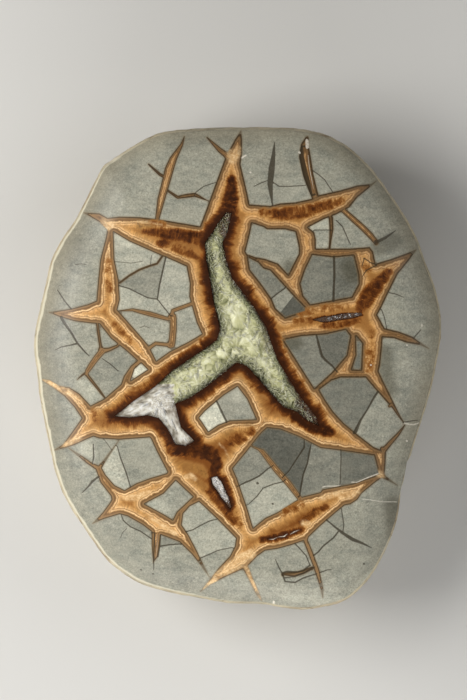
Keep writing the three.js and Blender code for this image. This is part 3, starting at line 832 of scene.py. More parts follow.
# %% Tone the blocks of grey stone
# Each seed: a pixel and a tone, the block's own grey with a painted falloff of light in it.
BLOCK_TONES_AND_LIGHT_FALLOFF = [
    (141, 372, 2.0), (125, 480, 2.05), (115, 470, 1.4),
    (105, 375, 1.35), (130, 358, 0.87), (320, 226, 1.36), (322, 240, 1.15),
    (148, 282, 0.87), (125, 250, 1.18), (180, 290, 1.27), (184, 330, 2.0), (150, 330, 1.12),
    (130, 297, 1.28), (162, 352, 1.1),
    (270, 245, 0.95), (292, 309, 0.3), (279, 303, 0.9), (262, 282, 0.64),
    (320, 280, 0.64), (345, 280, 0.54), (303, 366, 0.66), (333, 346, 0.48), (358, 360, 0.57),
    (210, 415, 1.9), (235, 405, 0.95), (345, 405, 0.6),
    (275, 448, 0.36), (300, 462, 0.39), (325, 470, 0.7), (358, 465, 0.49),
    (248, 470, 0.76), (250, 490, 1.05), (268, 500, 1.2), (338, 520, 0.84),
    (130, 520, 0.83), (170, 541, 0.79), (200, 535, 1.3), (205, 512, 1.28),
    (150, 460, 0.98),
]
LARGEST_BLOCK = 1 / 8


def tone_blocks(points, faces, drawn):
    """Gives every triangle the tone of the seed in its block, and one where there is no seed."""
    doors = {}
    for face, (a, b, c) in enumerate(faces):
        for edge in ((a, b), (b, c), (c, a)):
            edge = (min(edge), max(edge))
            if edge not in drawn:
                doors.setdefault(edge, []).append(face)
    beside = [[] for _ in faces]
    for pair in doors.values():
        if len(pair) == 2:
            beside[pair[0]].append(pair[1])
            beside[pair[1]].append(pair[0])
    centres = points[faces].mean(1)
    tones = np.ones(len(faces))
    for x, y, tone in BLOCK_TONES_AND_LIGHT_FALLOFF:
        start = int(np.hypot(*(centres - (x, y)).T).argmin())
        seen, queue = {start}, [start]
        while queue:
            for neighbour in beside[queue.pop()]:
                if neighbour not in seen:
                    seen.add(neighbour)
                    queue.append(neighbour)
        if len(seen) < len(faces) * LARGEST_BLOCK:
            tones[list(seen)] = tone
        else:
            print("  the block at", (x, y), "is open:", len(seen), "triangles")
    return tones


face_tones = tone_blocks(face_points, face_faces, drawn_edges)
print("toned triangles:", int((face_tones != 1).sum()))

# %% [markdown]
# The stone is closed: the face, the skin that hangs from its rim, the sawn flat below, and a
# wall and floor for each hollow. The parts share their rims, so merging the doubled points makes
# one sealed mesh. A part keeps its own material number, and each point keeps the pixel whose
# colours it takes: the skin takes those of the rim, and the flat those of the face above it.

# %% Add the face and the skin
FACE, SKIN, SAWN = 0, 1, 2

corners, triangles, surfaces, tones, places = [], [], [], [], []


def add_part(points, part_faces, surface, seen_from, part_tones=1.0):
    """Adds a part. seen_from gives the pixel whose colours each point takes."""
    triangles.append(np.asarray(part_faces) + sum(map(len, corners)))
    corners.append(points)
    surfaces.append(np.full(len(part_faces), surface))
    tones.append(np.broadcast_to(part_tones, len(part_faces)))
    places.append(seen_from)


def strip_faces(rows, columns, inward=False):
    """Triangles between closed rings of equal length."""
    a = (np.arange(rows - 1)[:, None] * columns + np.arange(columns)).ravel()
    b = (np.arange(rows - 1)[:, None] * columns + (np.arange(columns) + 1) % columns).ravel()
    faces = np.concatenate([
        np.column_stack([a, a + columns, b]),
        np.column_stack([b, a + columns, b + columns]),
    ])
    return faces[:, ::-1] if inward else faces


used = np.unique(face_faces)
renumber = np.zeros(len(face_points), int)
renumber[used] = np.arange(len(used))
face_points, face_faces = face_points[used], renumber[face_faces]
add_part(in_space(face_points, face_height(face_points)), face_faces, FACE, face_points, face_tones)

rows, columns = skin_rings.shape[:2]
add_part(skin_rings.reshape(-1, 3), strip_faces(rows, columns, inward=True), SKIN,
         np.tile(face_edge, (rows, 1)))
print("points of face and skin:", sum(map(len, corners)))

# %% Add the sawn flat, and the walls and floors of the hollows
BASE_STEP = 2.9
BASE_GAP = 1.5
WALL_ROWS = 4


def fill_loops(lines, loose):
    """Triangles inside the first of the lines, with the other lines and the loose points in them."""
    points, faces, _ = triangulate(lines, loose)
    return points, faces[inside_loops(points[faces].mean(1), [lines[0][0]])]


base_edge = snap(to_pixels(skin_rings[-1]))
base_loops = inner_lines([(densify(loop, 2 * BASE_STEP), True) for loop in VEIN_LOOPS])
base_lines = [(base_edge, True)]
base_lines += [(PHOTO_MIDDLE + (line - PHOTO_MIDDLE) * BASE_SHARE, closed) for line, closed in base_loops]
base_loose = lattice(BASE_STEP, base_edge.min(0), base_edge.max(0), FINE_SHAKE, seed=9)
base_loose = base_loose[inside_loops(base_loose, [base_edge])
                        & ~near_lines(base_loose, base_lines, BASE_GAP)]
base_points, base_faces = fill_loops(base_lines, base_loose)
add_part(in_space(base_points, 0.0), base_faces[:, ::-1], SAWN,
         PHOTO_MIDDLE + (base_points - PHOTO_MIDDLE) / BASE_SHARE)

for hollow, (loop, _) in zip(HOLLOWS.values(), rim_lines):
    top = face_height(loop)
    floor = STONE_HEIGHT - hollow["deep"]
    drops = [top + (floor - top) * k / (WALL_ROWS - 1) for k in range(WALL_ROWS)]
    clockwise = (loop[:, 0] * np.roll(loop[:, 1], -1) - loop[:, 1] * np.roll(loop[:, 0], -1)).sum()
    add_part(np.concatenate([in_space(loop, drop) for drop in drops]),
             strip_faces(WALL_ROWS, len(loop), inward=clockwise < 0), FACE,
             np.tile(loop, (WALL_ROWS, 1)))
    floor_points, floor_faces = fill_loops([(loop, True)], np.zeros((0, 2)))
    add_part(in_space(floor_points, floor), floor_faces, FACE, floor_points)

stone_points, stone_faces, stone_places, stone_surfaces, stone_tones = map(
    np.concatenate, (corners, triangles, places, surfaces, tones))
print("stone points:", len(stone_points), "triangles:", len(stone_faces))

# %% Merge the shared rims
WELD = 2e-6


def weld(points, faces):
    """Merges points that lie in the same place and drops triangles that close up."""
    keys = np.round(points / WELD).astype(np.int64)
    _, first, group = np.unique(keys, axis=0, return_index=True, return_inverse=True)
    faces = group.reshape(-1)[faces]
    whole = (faces != np.roll(faces, 1, axis=1)).all(1)
    return first, faces[whole], whole


first, stone_faces, whole = weld(stone_points, stone_faces)
stone_points, stone_places = stone_points[first], stone_places[first]
stone_surfaces, stone_tones = stone_surfaces[whole], stone_tones[whole]
edge_use = {}
for a, b, c in stone_faces.tolist():
    for edge in ((a, b), (b, c), (c, a)):
        edge_use[edge] = edge_use.get(edge, 0) + 1
open_edges = [e for e in edge_use if edge_use.get((e[1], e[0]), 0) != 1 or edge_use[e] != 1]
print("welded points:", len(stone_points), "open or doubled edges:", len(open_edges))

# %% [markdown]
# A mesh can carry its own measurements. Each point of the stone gets the distances that its
# colours depend on, as named attributes that a material reads back. This keeps every marking
# sharp and tied to the stone, with no picture involved.

# %% Hang the measurements on the stone
FAR = 40.0
NEAR = 4.0
SHARP_STONE = math.radians(48)


def soft_steps(share):
    """A share from 0 to 1 with soft ends."""
    share = np.clip(share, 0, 1)
    return share * share * (3 - 2 * share)


def soft_mask(points, strokes, softness):
    """One inside the strokes, falling smoothly to nothing over the softness."""
    return soft_steps(1 + stroke_depth(points, strokes)[0] / softness)


def strongest(pixels, strokes, softness):
    """The strongest of several soft strokes, each with its own strength."""
    return np.max([strength * soft_mask(pixels, [stroke], softness) for strength, stroke in strokes],
                  axis=0)


def hang(thing, values, domain="POINT"):
    """Hangs named rows of numbers or of vectors on a mesh."""
    for name, row in values.items():
        row = np.asarray(row, np.float32)
        kind, key = ("FLOAT", "value") if row.ndim == 1 else ("FLOAT_VECTOR", "vector")
        layer = thing.data.attributes.new(name, kind, domain)
        layer.data.foreach_set(key, row.ravel())


def add_to_scene(name, data):
    thing = bpy.data.objects.new(name, data)
    bpy.context.scene.collection.objects.link(thing)
    return thing


def new_object(name, points, faces, sharp_angle):
    """A smooth mesh whose edges are sharp where its faces turn by more than the angle."""
    mesh = bpy.data.meshes.new(name)
    mesh.from_pydata(points.tolist(), [], faces.tolist())
    mesh.polygons.foreach_set("use_smooth", [True] * len(mesh.polygons))
    mesh.set_sharp_from_angle(angle=sharp_angle)
    return add_to_scene(name, mesh)


stone = new_object("polished_stone", stone_points, stone_faces, SHARP_STONE)
depth, band, root = vein_fields(stone_places)
hollow_gap = np.full(len(stone_places), FAR)
for hollow in HOLLOWS.values():
    inside_gap, _ = loop_depth(stone_places, [hollow["rim"]])
    hollow_gap = np.minimum(hollow_gap, hollow["burn_start"] - inside_gap * hollow["burn_fall"])
distance, reach = outline_reach(stone_places)
hang(stone, {
    "vein_depth": np.clip(depth, -FAR, FAR),
    "vein_band": np.clip(band, -FAR, FAR),
    "fibre_root": np.column_stack([root, np.zeros(len(root))]),
    "hollow_gap": np.clip(hollow_gap, -1, FAR),
    "dark_seam": strongest(stone_places, DARK_SEAMS, 6.0),
    "gold_place": strongest(stone_places, GOLD_PLACES, 6.0),
    "pale_place": soft_mask(stone_places, PALE_PLACES, 2.5),
    "dark_patch": soft_mask(stone_places, DARK_PATCHES, 9.0),
    "pale_patch_and_rim_sheen": soft_mask(stone_places, PALE_PATCHES_AND_RIM_SHEEN, 6.0),
    "crack": np.clip(stroke_depth(stone_places, CRACKS)[0], -NEAR, NEAR),
    "white_line": np.clip(stroke_depth(stone_places, WHITE_LINES)[0], -NEAR, NEAR),
    "rim_gap": reach - distance,
})
hang(stone, {"block_tone_and_light_falloff": stone_tones}, "FACE")
print("attributes:", [a.name for a in stone.data.attributes if not a.name.startswith(".")])

# %% [markdown]
# For baking, each material becomes a picture that is wrapped on the piece by a wrapping named
# OFBake. The stone has an easy one: the face flat, the skin as a long strip above it, and the sawn
# flat beside it.

# %% Wrap the stone for baking
FACE_SCALE, FACE_PLACE = 3.9, (0.335, 0.395)
BASE_SCALE, BASE_PLACE = 2.8, (0.835, 0.2)
STRIP_WIDTH, STRIP_SCALE, STRIP_PLACE = 0.94, 3.2, (0.5, 0.8)
TURN = 2 * math.pi


def wrap(thing, places):
    """Gives every corner of every triangle its place in the wrapping."""
    layer = thing.data.uv_layers.new(name="OFBake")
    layer.data.foreach_set("uv", np.asarray(places, np.float32).ravel())


flat = stone_points[stone_faces]
turn = np.arctan2(flat[..., 1], flat[..., 0])
turn = np.where(turn - turn[:, :1] > math.pi, turn - TURN, turn)
turn = np.where(turn - turn[:, :1] < -math.pi, turn + TURN, turn)
stone_uv = np.stack([turn / TURN * STRIP_WIDTH, flat[..., 2] * STRIP_SCALE], axis=-1) + STRIP_PLACE
for surface, scale, place in ((FACE, FACE_SCALE, FACE_PLACE), (SAWN, BASE_SCALE, BASE_PLACE)):
    rows = stone_surfaces == surface
    stone_uv[rows] = flat[rows][..., :2] * scale + place
wrap(stone, stone_uv)
print("wrapping from", stone_uv.min((0, 1)).round(3), "to", stone_uv.max((0, 1)).round(3))

# %% [markdown]
# Materials are built as node trees. A few helpers keep the trees short: one makes a node, others
# name the sums that come again and again, and one turns the colours that a painter would name into
# the linear light that the renderer works in.

# %% Helpers for materials
FLOAT, COLOUR, VECTOR = "NodeSocketFloat", "NodeSocketColor", "NodeSocketVector"


def linear(red, green, blue):
    """A screen colour from 0 to 255 as linear light."""
    parts = [c / 255 for c in (red, green, blue)]
    return [p / 12.92 if p <= 0.04045 else ((p + 0.055) / 1.055) ** 2.4 for p in parts] + [1.0]


class Tree:
    """A small wrapper round a node tree. Its methods make nodes and give back their outputs."""

    def __init__(self, tree):
        self.tree = tree

    def fill(self, node, inputs):
        """Links a socket to an input, and sets anything else as its value. Colours are screen colours."""
        for key, value in inputs.items():
            end = node.inputs[key]
            if isinstance(value, bpy.types.NodeSocket):
                self.tree.links.new(value, end)
            else:
                end.default_value = linear(*value) if end.type == "RGBA" else value

    def node(self, kind, inputs=None, **settings):
        made = self.tree.nodes.new(kind)
        for key, value in settings.items():
            setattr(made, key, value)
        self.fill(made, inputs or {})
        return made

    def number(self, name, output="Fac"):
        return self.node("ShaderNodeAttribute", attribute_name=name).outputs[output]

    def vector(self, name):
        return self.number(name, "Vector")

    def place(self):
        return self.node("ShaderNodeTexCoord").outputs["Object"]

    def math(self, operation, a, b=0.0, c=0.0, clamp=False):
        return self.node("ShaderNodeMath", {0: a, 1: b, 2: c}, operation=operation,
                         use_clamp=clamp).outputs[0]

    def plus(self, a, b):
        return self.math("ADD", a, b)

    def less(self, a, b):
        return self.math("SUBTRACT", a, b)

    def times(self, a, b):
        return self.math("MULTIPLY", a, b)

    def times_plus(self, a, b, c, clamp=False):
        return self.math("MULTIPLY_ADD", a, b, c, clamp)

    def most(self, a, b, clamp=False):
        return self.math("MAXIMUM", a, b, clamp=clamp)

    def vectors(self, operation, inputs):
        return self.node("ShaderNodeVectorMath", inputs, operation=operation).outputs[0]

    def shade(self, colour, factor):
        """Makes a colour darker or lighter by a factor."""
        return self.vectors("SCALE", {0: colour, "Scale": factor})

    def span(self, value, low, high, to_low=0.0, to_high=1.0):
        """Maps a value from one span to another with soft ends."""
        return self.node("ShaderNodeMapRange", {
            "Value": value, "From Min": low, "From Max": high, "To Min": to_low, "To Max": to_high,
        }, interpolation_type="SMOOTHSTEP").outputs["Result"]

    def mix(self, share, a, b):
        return self.node("ShaderNodeMix", {0: share, 6: a, 7: b}, data_type="RGBA").outputs[2]

    def noise(self, vector, size, detail=2.0, rough=0.5, warp=0.0):
        return self.node("ShaderNodeTexNoise", {
            "Vector": vector, "Scale": size, "Detail": detail, "Roughness": rough,
            "Distortion": warp,
        }).outputs["Fac"]

    def swing(self, *settings):
        """Noise that swings to both sides of zero."""
        return self.less(self.noise(*settings), 0.5)

    def ramp(self, share, stops):
        made = self.node("ShaderNodeValToRGB", {"Fac": share})
        ramp = made.color_ramp
        while len(ramp.elements) < len(stops):
            ramp.elements.new(0.5)
        for element, (place, colour) in zip(ramp.elements, stops):
            element.position = place
            element.color = linear(*colour)
        return made.outputs["Color"]

    def bump(self, height, strength, distance):
        return self.node("ShaderNodeBump", {
            "Height": height, "Strength": strength, "Distance": distance,
        }).outputs[0]

    def group(self, group, inputs):
        return self.node("ShaderNodeGroup", inputs, node_tree=group).outputs


def new_group(name, inputs, outputs):
    """A shader node group with named inputs and outputs, and the wrapper to fill it."""
    group = bpy.data.node_groups.new(name, "ShaderNodeTree")
    for title, (kind, value) in inputs.items():
        socket = group.interface.new_socket(title, in_out="INPUT", socket_type=kind)
        if value is not None:
            socket.default_value = value
    for title, kind in outputs.items():
        group.interface.new_socket(title, in_out="OUTPUT", socket_type=kind)
    tree = Tree(group)
    return group, tree, tree.node("NodeGroupInput").outputs, tree.node("NodeGroupOutput")


def new_material(name):
    material = bpy.data.materials.new(name)
    material.use_nodes = True
    material.node_tree.nodes.clear()
    tree = Tree(material.node_tree)
    shader = tree.node("ShaderNodeBsdfPrincipled")
    tree.node("ShaderNodeOutputMaterial", {"Surface": shader.outputs[0]})
    return material, tree, shader


print("a middle grey in linear light:", round(linear(128, 128, 128)[0], 3))

# %% [markdown]
# Limestone is fine mud turned to stone: one grey with soft clouds in it, a close mottling of
# lighter and darker flecks, and a faint salt-and-pepper grain. The polished face, the natural skin
# and the sawn flat all have it, so it is one group with its own values in each material.

# %% Group: limestone grain
grain_group, t, i, end = new_group(
    "limestone_grain",
    {"Grey": (COLOUR, linear(170, 168, 158)), "Clouds": (FLOAT, 0.2),
     "Mottle": (FLOAT, 0.2), "Grain": (FLOAT, 0.2)},
    {"Colour": COLOUR, "Height": FLOAT},
)
place = t.place()
clouds = t.swing(place, 40, 4, 0.6, 0.5)
stretched = t.vectors("MULTIPLY", {0: place, 1: (1, 1.9, 1)})
wisps = t.noise(stretched, 150, 4, 0.65, 0.3)
mottles = t.noise(place, 850, 4, 0.75, 0.4)
grain = t.noise(place, 1500, 2, 0.8)
smooth_places = t.span(t.noise(place, 75, 2), 0.35, 0.65, 0.55, 1.25)
tone = t.times_plus(clouds, i["Clouds"], 1)
tone = t.times_plus(t.less(wisps, 0.5), i["Clouds"], tone)
mottle = t.times(t.less(mottles, 0.5), smooth_places)
tone = t.times_plus(mottle, i["Mottle"], tone)
tone = t.times_plus(t.less(grain, 0.5), i["Grain"], tone)
flecks = t.times(t.span(mottles, 0.62, 0.72), t.span(grain, 0.4, 0.6))
tone = t.times_plus(flecks, t.times(i["Mottle"], 0.35), tone)
tinted = t.mix(t.span(wisps, 0.3, 0.6, 0.35, 0), i["Grey"], (130, 136, 126))
t.fill(end, {"Colour": t.shade(tinted, tone), "Height": grain})
print("group:", grain_group.name)

# %% [markdown]
# The veins. Calcite grew inwards from both walls in layers: a dark olive line at the wall, tan, a
# thin brown line, tan again, two bright cream lines, and then gold to orange. In the brown part of
# the stone the line at the wall is darker and the cream lines are fainter. Fibres cross the layers
# at right angles to the wall. The group takes the depth as the position on one colour ramp and
# shifts it a little, so that the layers waver. The streaks are noise that is read at the fibre's
# root, so it changes along the wall but hardly across the vein.

# %% Group: calcite bands, the layers
BAND_SPAN = 24
# Each cream line: how deep it lies, half its width, how far it shows as the drift rises, its colour.
CREAM_LINES = [
    (5.1, 0.95, (0.3, 0.6, 0.3, 0.95), (238, 200, 148)),
    (7.1, 1.2, (0.65, 0.4, 0.25, 0.85), (230, 188, 132)),
]

band_group, t, i, end = new_group(
    "calcite_bands",
    {"Depth": (FLOAT, 0), "Root": (VECTOR, None), "Hollow Gap": (FLOAT, FAR),
     "Seam": (FLOAT, 0), "Gold": (FLOAT, 0), "Pale": (FLOAT, 0), "Brown": (FLOAT, 0)},
    {"Colour": COLOUR},
)
inward = t.node("ShaderNodeCombineXYZ", {"Z": t.times(i["Depth"], 0.2)}).outputs[0]
along = t.vectors("ADD", {0: i["Root"], 1: inward})
fibres = t.swing(along, 0.8, 3, 0.7)
lobes = t.swing(along, 0.17, 1, 0.5)
place = t.place()
patches = t.noise(place, 190, 4, 0.65, 0.9)
sparkle = t.noise(place, 1100, 2, 0.7)
waver = t.times_plus(lobes, 3.6, t.times(fibres, 1.4))
depth = t.plus(i["Depth"], t.times(waver, t.span(i["Depth"], 1, 5)))
bands = t.ramp(t.math("DIVIDE", depth, BAND_SPAN), [
    (0.000, (66, 52, 34)),
    (0.030, (88, 68, 44)),
    (0.055, (146, 116, 80)),
    (0.095, (138, 106, 70)),
    (0.130, (104, 76, 46)),
    (0.170, (158, 120, 76)),
    (0.205, (168, 128, 82)),
    (0.255, (146, 102, 58)),
    (0.310, (190, 144, 90)),
    (0.400, (194, 146, 88)),
    (0.500, (170, 122, 66)),
    (0.620, (146, 98, 50)),
    (1.000, (122, 78, 36)),
])
dark_edge = t.times(t.span(depth, 2.6, 1.3), t.span(sparkle, 0.35, 0.75, 1, 0.6))
bands = t.mix(t.times(dark_edge, i["Brown"]), bands, (56, 40, 20))
drift = t.noise(along, 0.06, 1, 0.5)
line_share = t.span(i["Brown"], 0.1, 0.8, 1, 0.4)
for line_depth, half_width, shares, line_colour in CREAM_LINES:
    off = t.math("ABSOLUTE", t.less(depth, line_depth))
    cream = t.times(t.span(off, half_width, 0.2), t.times(t.span(drift, *shares), line_share))
    bands = t.mix(cream, bands, line_colour)
blotches = t.less(patches, 0.5)
light = t.times_plus(fibres, t.span(i["Depth"], 2, 7, 0.35, 1.5), 1)
light = t.times_plus(blotches, t.span(i["Depth"], 3, 9, 0.3, 1.15), light)
light = t.times_plus(t.less(sparkle, 0.5), t.span(i["Depth"], 3, 8, 0.1, 0.8), light)
streaked = t.shade(bands, light)
print("cream lines:", len(CREAM_LINES))

# %% [markdown]
# Towards the hollows, along the seams and deep in the wide veins the calcite is burnt brown to
# black, with a ragged edge of lobes and flames. One mask gathers the three, and a ramp gives its
# colours. Gold places hold the burn off, and pale places lie over everything.

# %% Group: calcite bands, the burnt, gold and pale places
ragged = t.times_plus(lobes, 9, t.times(fibres, 4.5))
ragged = t.times_plus(blotches, 12, ragged)
gap_burn = t.span(t.plus(i["Hollow Gap"], ragged), 14, 1.5)
depth_burn = t.span(t.less(i["Depth"], ragged), 6, 20, 0, 0.5)
brown_burn = t.span(t.times_plus(ragged, -0.5, i["Depth"]), 6, 11, 0, 0.36)
depth_burn = t.most(depth_burn, t.times(brown_burn, i["Brown"]))
specks = t.swing(place, 480, 3, 0.65, 0.5)
seam_noise = t.times_plus(lobes, -0.5, t.times(fibres, -0.6))
seam_noise = t.times_plus(blotches, -1.2, seam_noise)
seam_noise = t.times_plus(specks, -0.8, seam_noise)
seam_burn = t.times_plus(t.span(i["Seam"], 0, 0.4), seam_noise, i["Seam"])
burn = t.most(t.most(gap_burn, depth_burn), seam_burn, clamp=True)
gold = t.times(i["Gold"], t.span(t.plus(patches, fibres), 0.25, 0.7, 0.4, 1))
burn = t.times(burn, t.less(1, gold))
burnt = t.ramp(burn, [
    (0, (186, 134, 74)),
    (0.25, (158, 110, 56)),
    (0.5, (118, 68, 24)),
    (0.75, (80, 40, 10)),
    (1, (50, 22, 4)),
])
embers = t.times(t.span(fibres, 0.08, 0.2), t.span(burn, 0.98, 0.6, 0, 0.55))
burnt = t.mix(embers, burnt, (176, 108, 48))
golden = t.mix(t.span(t.times_plus(specks, 0.7, patches), 0.4, 0.62), (84, 56, 20),
               (146, 104, 50))
streaked = t.mix(t.times(i["Gold"], 0.8), streaked, t.shade(golden, light))
deep = t.mix(t.span(burn, 0.04, 0.4), streaked, burnt)
glint = t.times(t.span(sparkle, 0.66, 0.76), t.span(burn, 0.6, 1, 0, 0.3))
deep = t.mix(glint, deep, (176, 140, 104))
grainy = t.mix(t.span(sparkle, 0.3, 0.7), (204, 160, 106), (238, 208, 160))
pale = t.times(i["Pale"], t.span(patches, 0.35, 0.65, 0.25, 0.95))
t.fill(end, {"Colour": t.mix(pale, deep, grainy)})
print("group:", band_group.name)

# %% [markdown]
# The polished face puts the groups together. Its grey differs from block to block, is darkened
# near the rim in the west as painted shade where the key light falls strongest, has faint rings
# that follow the rim, and iron tints it near the rim.

# %% Material: polished face, the grey stone
polished, t, shader = new_material("polished_face")
vein, rim_gap, dark_patch = t.number("vein_depth"), t.number("rim_gap"), t.number("dark_patch")
position = t.vector("position")
grain = t.group(grain_group, {
    "Grey": (154, 152, 137), "Clouds": 0.6, "Mottle": 1.1,
    "Grain": 1.25,
})
# Block tones: the stone's own greys, with a painted falloff of light from left to right.
tone = t.times(t.number("block_tone_and_light_falloff"), t.times_plus(dark_patch, -0.3, 1))
# Lighter patches of the stone, and a painted sheen along the lower rim.
tone = t.times(tone, t.times_plus(t.number("pale_patch_and_rim_sheen"), 0.25, 1))
near_rim = t.plus(rim_gap, t.times(t.noise(position, 60), 14))
compass = t.node("ShaderNodeSeparateXYZ", {0: position}).outputs
eastward = t.times_plus(compass[1], 0.2, compass[0])
northeast = t.times_plus(compass[1], 0.75, t.times(compass[0], 0.8))
north_share = t.span(compass[1], -0.05, -0.01)
# Painted shade: the face is darkened near the rim in the west, where the key light falls strongest.
west_rim_painted_shade = t.times(t.span(eastward, -0.01, -0.06), t.span(near_rim, 50, 25))
west_rim_painted_shade = t.times(west_rim_painted_shade, t.times_plus(north_share, 0.15, 0.15))
tone = t.times(tone, t.less(1, west_rim_painted_shade))
ring_place = t.node("ShaderNodeCombineXYZ", {
    "X": rim_gap, "Y": t.times(compass[0], 90), "Z": t.times(compass[1], 90),
}).outputs[0]
rings = t.swing(ring_place, 0.16, 3, 0.6)
tone = t.times(tone, t.times_plus(rings, t.span(rim_gap, 75, 35, 0, 0.4), 1))
stone_grey = t.shade(grain["Colour"], tone)
rim_tint = t.times(t.span(near_rim, 34, 6), t.times_plus(north_share, 0.3, 0.1))
stone_grey = t.mix(rim_tint, stone_grey, (146, 134, 108))
stone_grey = t.mix(t.times(dark_patch, 0.3), stone_grey, (84, 78, 54))
stained = t.span(t.times_plus(grain["Height"], 2, vein), -0.7, 1.1, 0, 0.5)
stone_grey = t.mix(stained, stone_grey, (124, 102, 68))
print("nodes for the grey stone:", len(t.tree.nodes))

# %% [markdown]
# Veins, cracks and white lines are laid over the grey by their distances, and the skin shows in a
# thin line at the rim: its own tan, painted cream and wider on the lit west side and dark on the
# shaded east side. A polish is a low roughness with a thin clear coat over it. It fades near the
# rim, and the cracks are pressed in a little.

# %% Material: polished face, the veins, the rim and the polish
bands = t.group(band_group, {
    "Depth": t.number("vein_band"), "Root": t.vector("fibre_root"),
    "Hollow Gap": t.number("hollow_gap"), "Seam": t.number("dark_seam"),
    "Gold": t.number("gold_place"), "Pale": t.number("pale_place"),
    "Brown": t.span(northeast, 0, 0.025, 0.1, 0.8),
})
colour = t.mix(t.span(vein, -0.35, 0.35), stone_grey, bands["Colour"])
crack_mask = t.span(t.number("crack"), -0.55, 0.35)
colour = t.mix(t.times(crack_mask, 0.85), colour, (54, 46, 31))
white_mask = t.times(t.span(t.number("white_line"), -0.6, 0.3),
                     t.span(grain["Height"], 0.3, 0.6, 0.5, 0.9))
colour = t.mix(white_mask, colour, (226, 218, 202))
# The skin line: its tan with painted light and shade, cream and wider on the lit west side, dark on the
# shaded east side.
skin_edge = t.less(t.span(eastward, -0.06, 0, 6.4, 4.4), rim_gap)
skin_edge = t.times_plus(t.noise(position, 240), -3, skin_edge)
skin_lit_west_shaded_east = t.mix(t.span(eastward, -0.05, 0.07), (196, 190, 168), (74, 64, 38))
relief = t.less(t.times(grain["Height"], 0.12), crack_mask)
t.fill(shader, {
    "Base Color": t.mix(t.span(skin_edge, -1, 0.6), colour, skin_lit_west_shaded_east),
    "Roughness": t.plus(t.span(t.noise(position, 90, 3, 0.6), 0.2, 0.8, 0.26, 0.36),
                        t.span(rim_gap, 45, 10, 0, 0.26)),
    "Normal": t.bump(relief, 0.35, 0.0002),
    "Coat Weight": t.span(rim_gap, 10, 45, 0, 0.1),
    "Coat Roughness": 0.3,
    "Specular IOR Level": 0.32,
    "IOR": 1.5,
})
print("material:", polished.name)

# %% [markdown]
# The natural skin is what the stone looks like where it is not cut: cream to tan, rough, a little
# stained, and with a net of healed cracks in places. The net is the edges of a cell pattern, bent
# by noise so that no cell has straight sides. The sawn flat is the same limestone as the face but
# unpolished, with the veins running through it and the faint waves of the saw.

# %% Material: natural skin
rind, t, shader = new_material("natural_skin")
grain = t.group(grain_group, {
    "Grey": (186, 174, 146), "Clouds": 0.5, "Mottle": 0.4,
    "Grain": 0.5,
})
place = t.place()
stains = t.noise(place, 45, 5, 0.65, 0.8)
pits = t.noise(place, 420, 4, 0.7)
colour = t.mix(t.span(stains, 0.48, 0.7, 0, 0.6), grain["Colour"], (128, 104, 74))
colour = t.mix(t.span(stains, 0.42, 0.25, 0, 0.5), colour, (222, 214, 194))
bends = t.node("ShaderNodeTexNoise", {"Vector": place, "Scale": 60, "Detail": 3})
bent = t.vectors("ADD", {0: place, 1: t.shade(bends.outputs["Color"], 0.016)})
web = t.node("ShaderNodeTexVoronoi", {"Vector": bent, "Scale": 36},
             feature="DISTANCE_TO_EDGE").outputs["Distance"]
open_places = t.span(t.noise(place, 26, 2), 0.42, 0.56)
lines = t.times(t.span(web, 0.028, 0.006), open_places)
t.fill(shader, {
    "Base Color": t.mix(t.times(lines, 0.5), colour, (112, 88, 56)),
    "Roughness": t.span(pits, 0.3, 0.7, 0.95, 0.7),
    "Normal": t.bump(t.less(pits, t.times(lines, 0.6)), 0.8, 0.0006),
})
print("material:", rind.name)

# %% Material: sawn flat
sawn, t, shader = new_material("sawn_flat")
grain = t.group(grain_group, {
    "Grey": (148, 146, 134), "Clouds": 0.3, "Mottle": 0.4,
    "Grain": 0.45,
})
band = t.number("vein_band")
bands = t.group(band_group, {
    "Depth": band, "Root": t.vector("fibre_root"), "Seam": t.span(band, 9, 18, 0, 0.6),
    "Pale": 0.2,
})
saw = t.node("ShaderNodeTexWave", {"Vector": t.place(), "Scale": 140, "Distortion": 2},
             wave_type="BANDS", bands_direction="DIAGONAL").outputs["Fac"]
t.fill(shader, {
    "Base Color": t.mix(t.span(t.number("vein_depth"), -0.8, 0.8), grain["Colour"], bands["Colour"]),
    "Roughness": 0.8,
    "Normal": t.bump(saw, 0.25, 0.0001),
})

for material in (polished, rind, sawn):
    stone.data.materials.append(material)
stone.data.polygons.foreach_set("material_index", stone_surfaces.astype(np.int32))
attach(stone, "root")
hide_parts("nodule")
print("materials on the stone:", [m.name for m in stone.data.materials])

# %% [markdown]
# The hollows are lined with a druse, a crust of small crystals. Most of it is a body of low
# cushions, whose fine fibres fan out from the middle like the bristles of a brush. On it lie sheaves
# of needles, and stubs in the small hollows. Each crystal is one small closed mesh with its own
# size, lean and turn. The dice have a fixed seed, so every run grows the same druse.

# %% Shapes of one crystal
SIDES = 6
SIDE_WOBBLE = 0.14


def crystal_shape(rings, tip):
    """A six-sided crystal made of rings of (radius, height) and a point on top."""
    angles = np.arange(SIDES) * 2 * math.pi / SIDES
    wobble = 1 + SIDE_WOBBLE * np.cos(angles * 3)
    points = [
        np.column_stack([np.cos(angles) * radius * wobble, np.sin(angles) * radius * wobble,
                         np.full(SIDES, height)])
        for radius, height in rings
    ]
    faces = []
    for k in range(len(rings) - 1):
        for s in range(SIDES):
            a, b = k * SIDES + s, k * SIDES + (s + 1) % SIDES
            faces += [(a, b, b + SIDES), (a, b + SIDES, a + SIDES)]
    last = (len(rings) - 1) * SIDES
    faces += [(last + s, last + (s + 1) % SIDES, last + SIDES) for s in range(SIDES)]
    faces += [(0, s + 1, s) for s in range(1, SIDES - 1)]
    return np.concatenate(points + [[tip]]), np.array(faces)


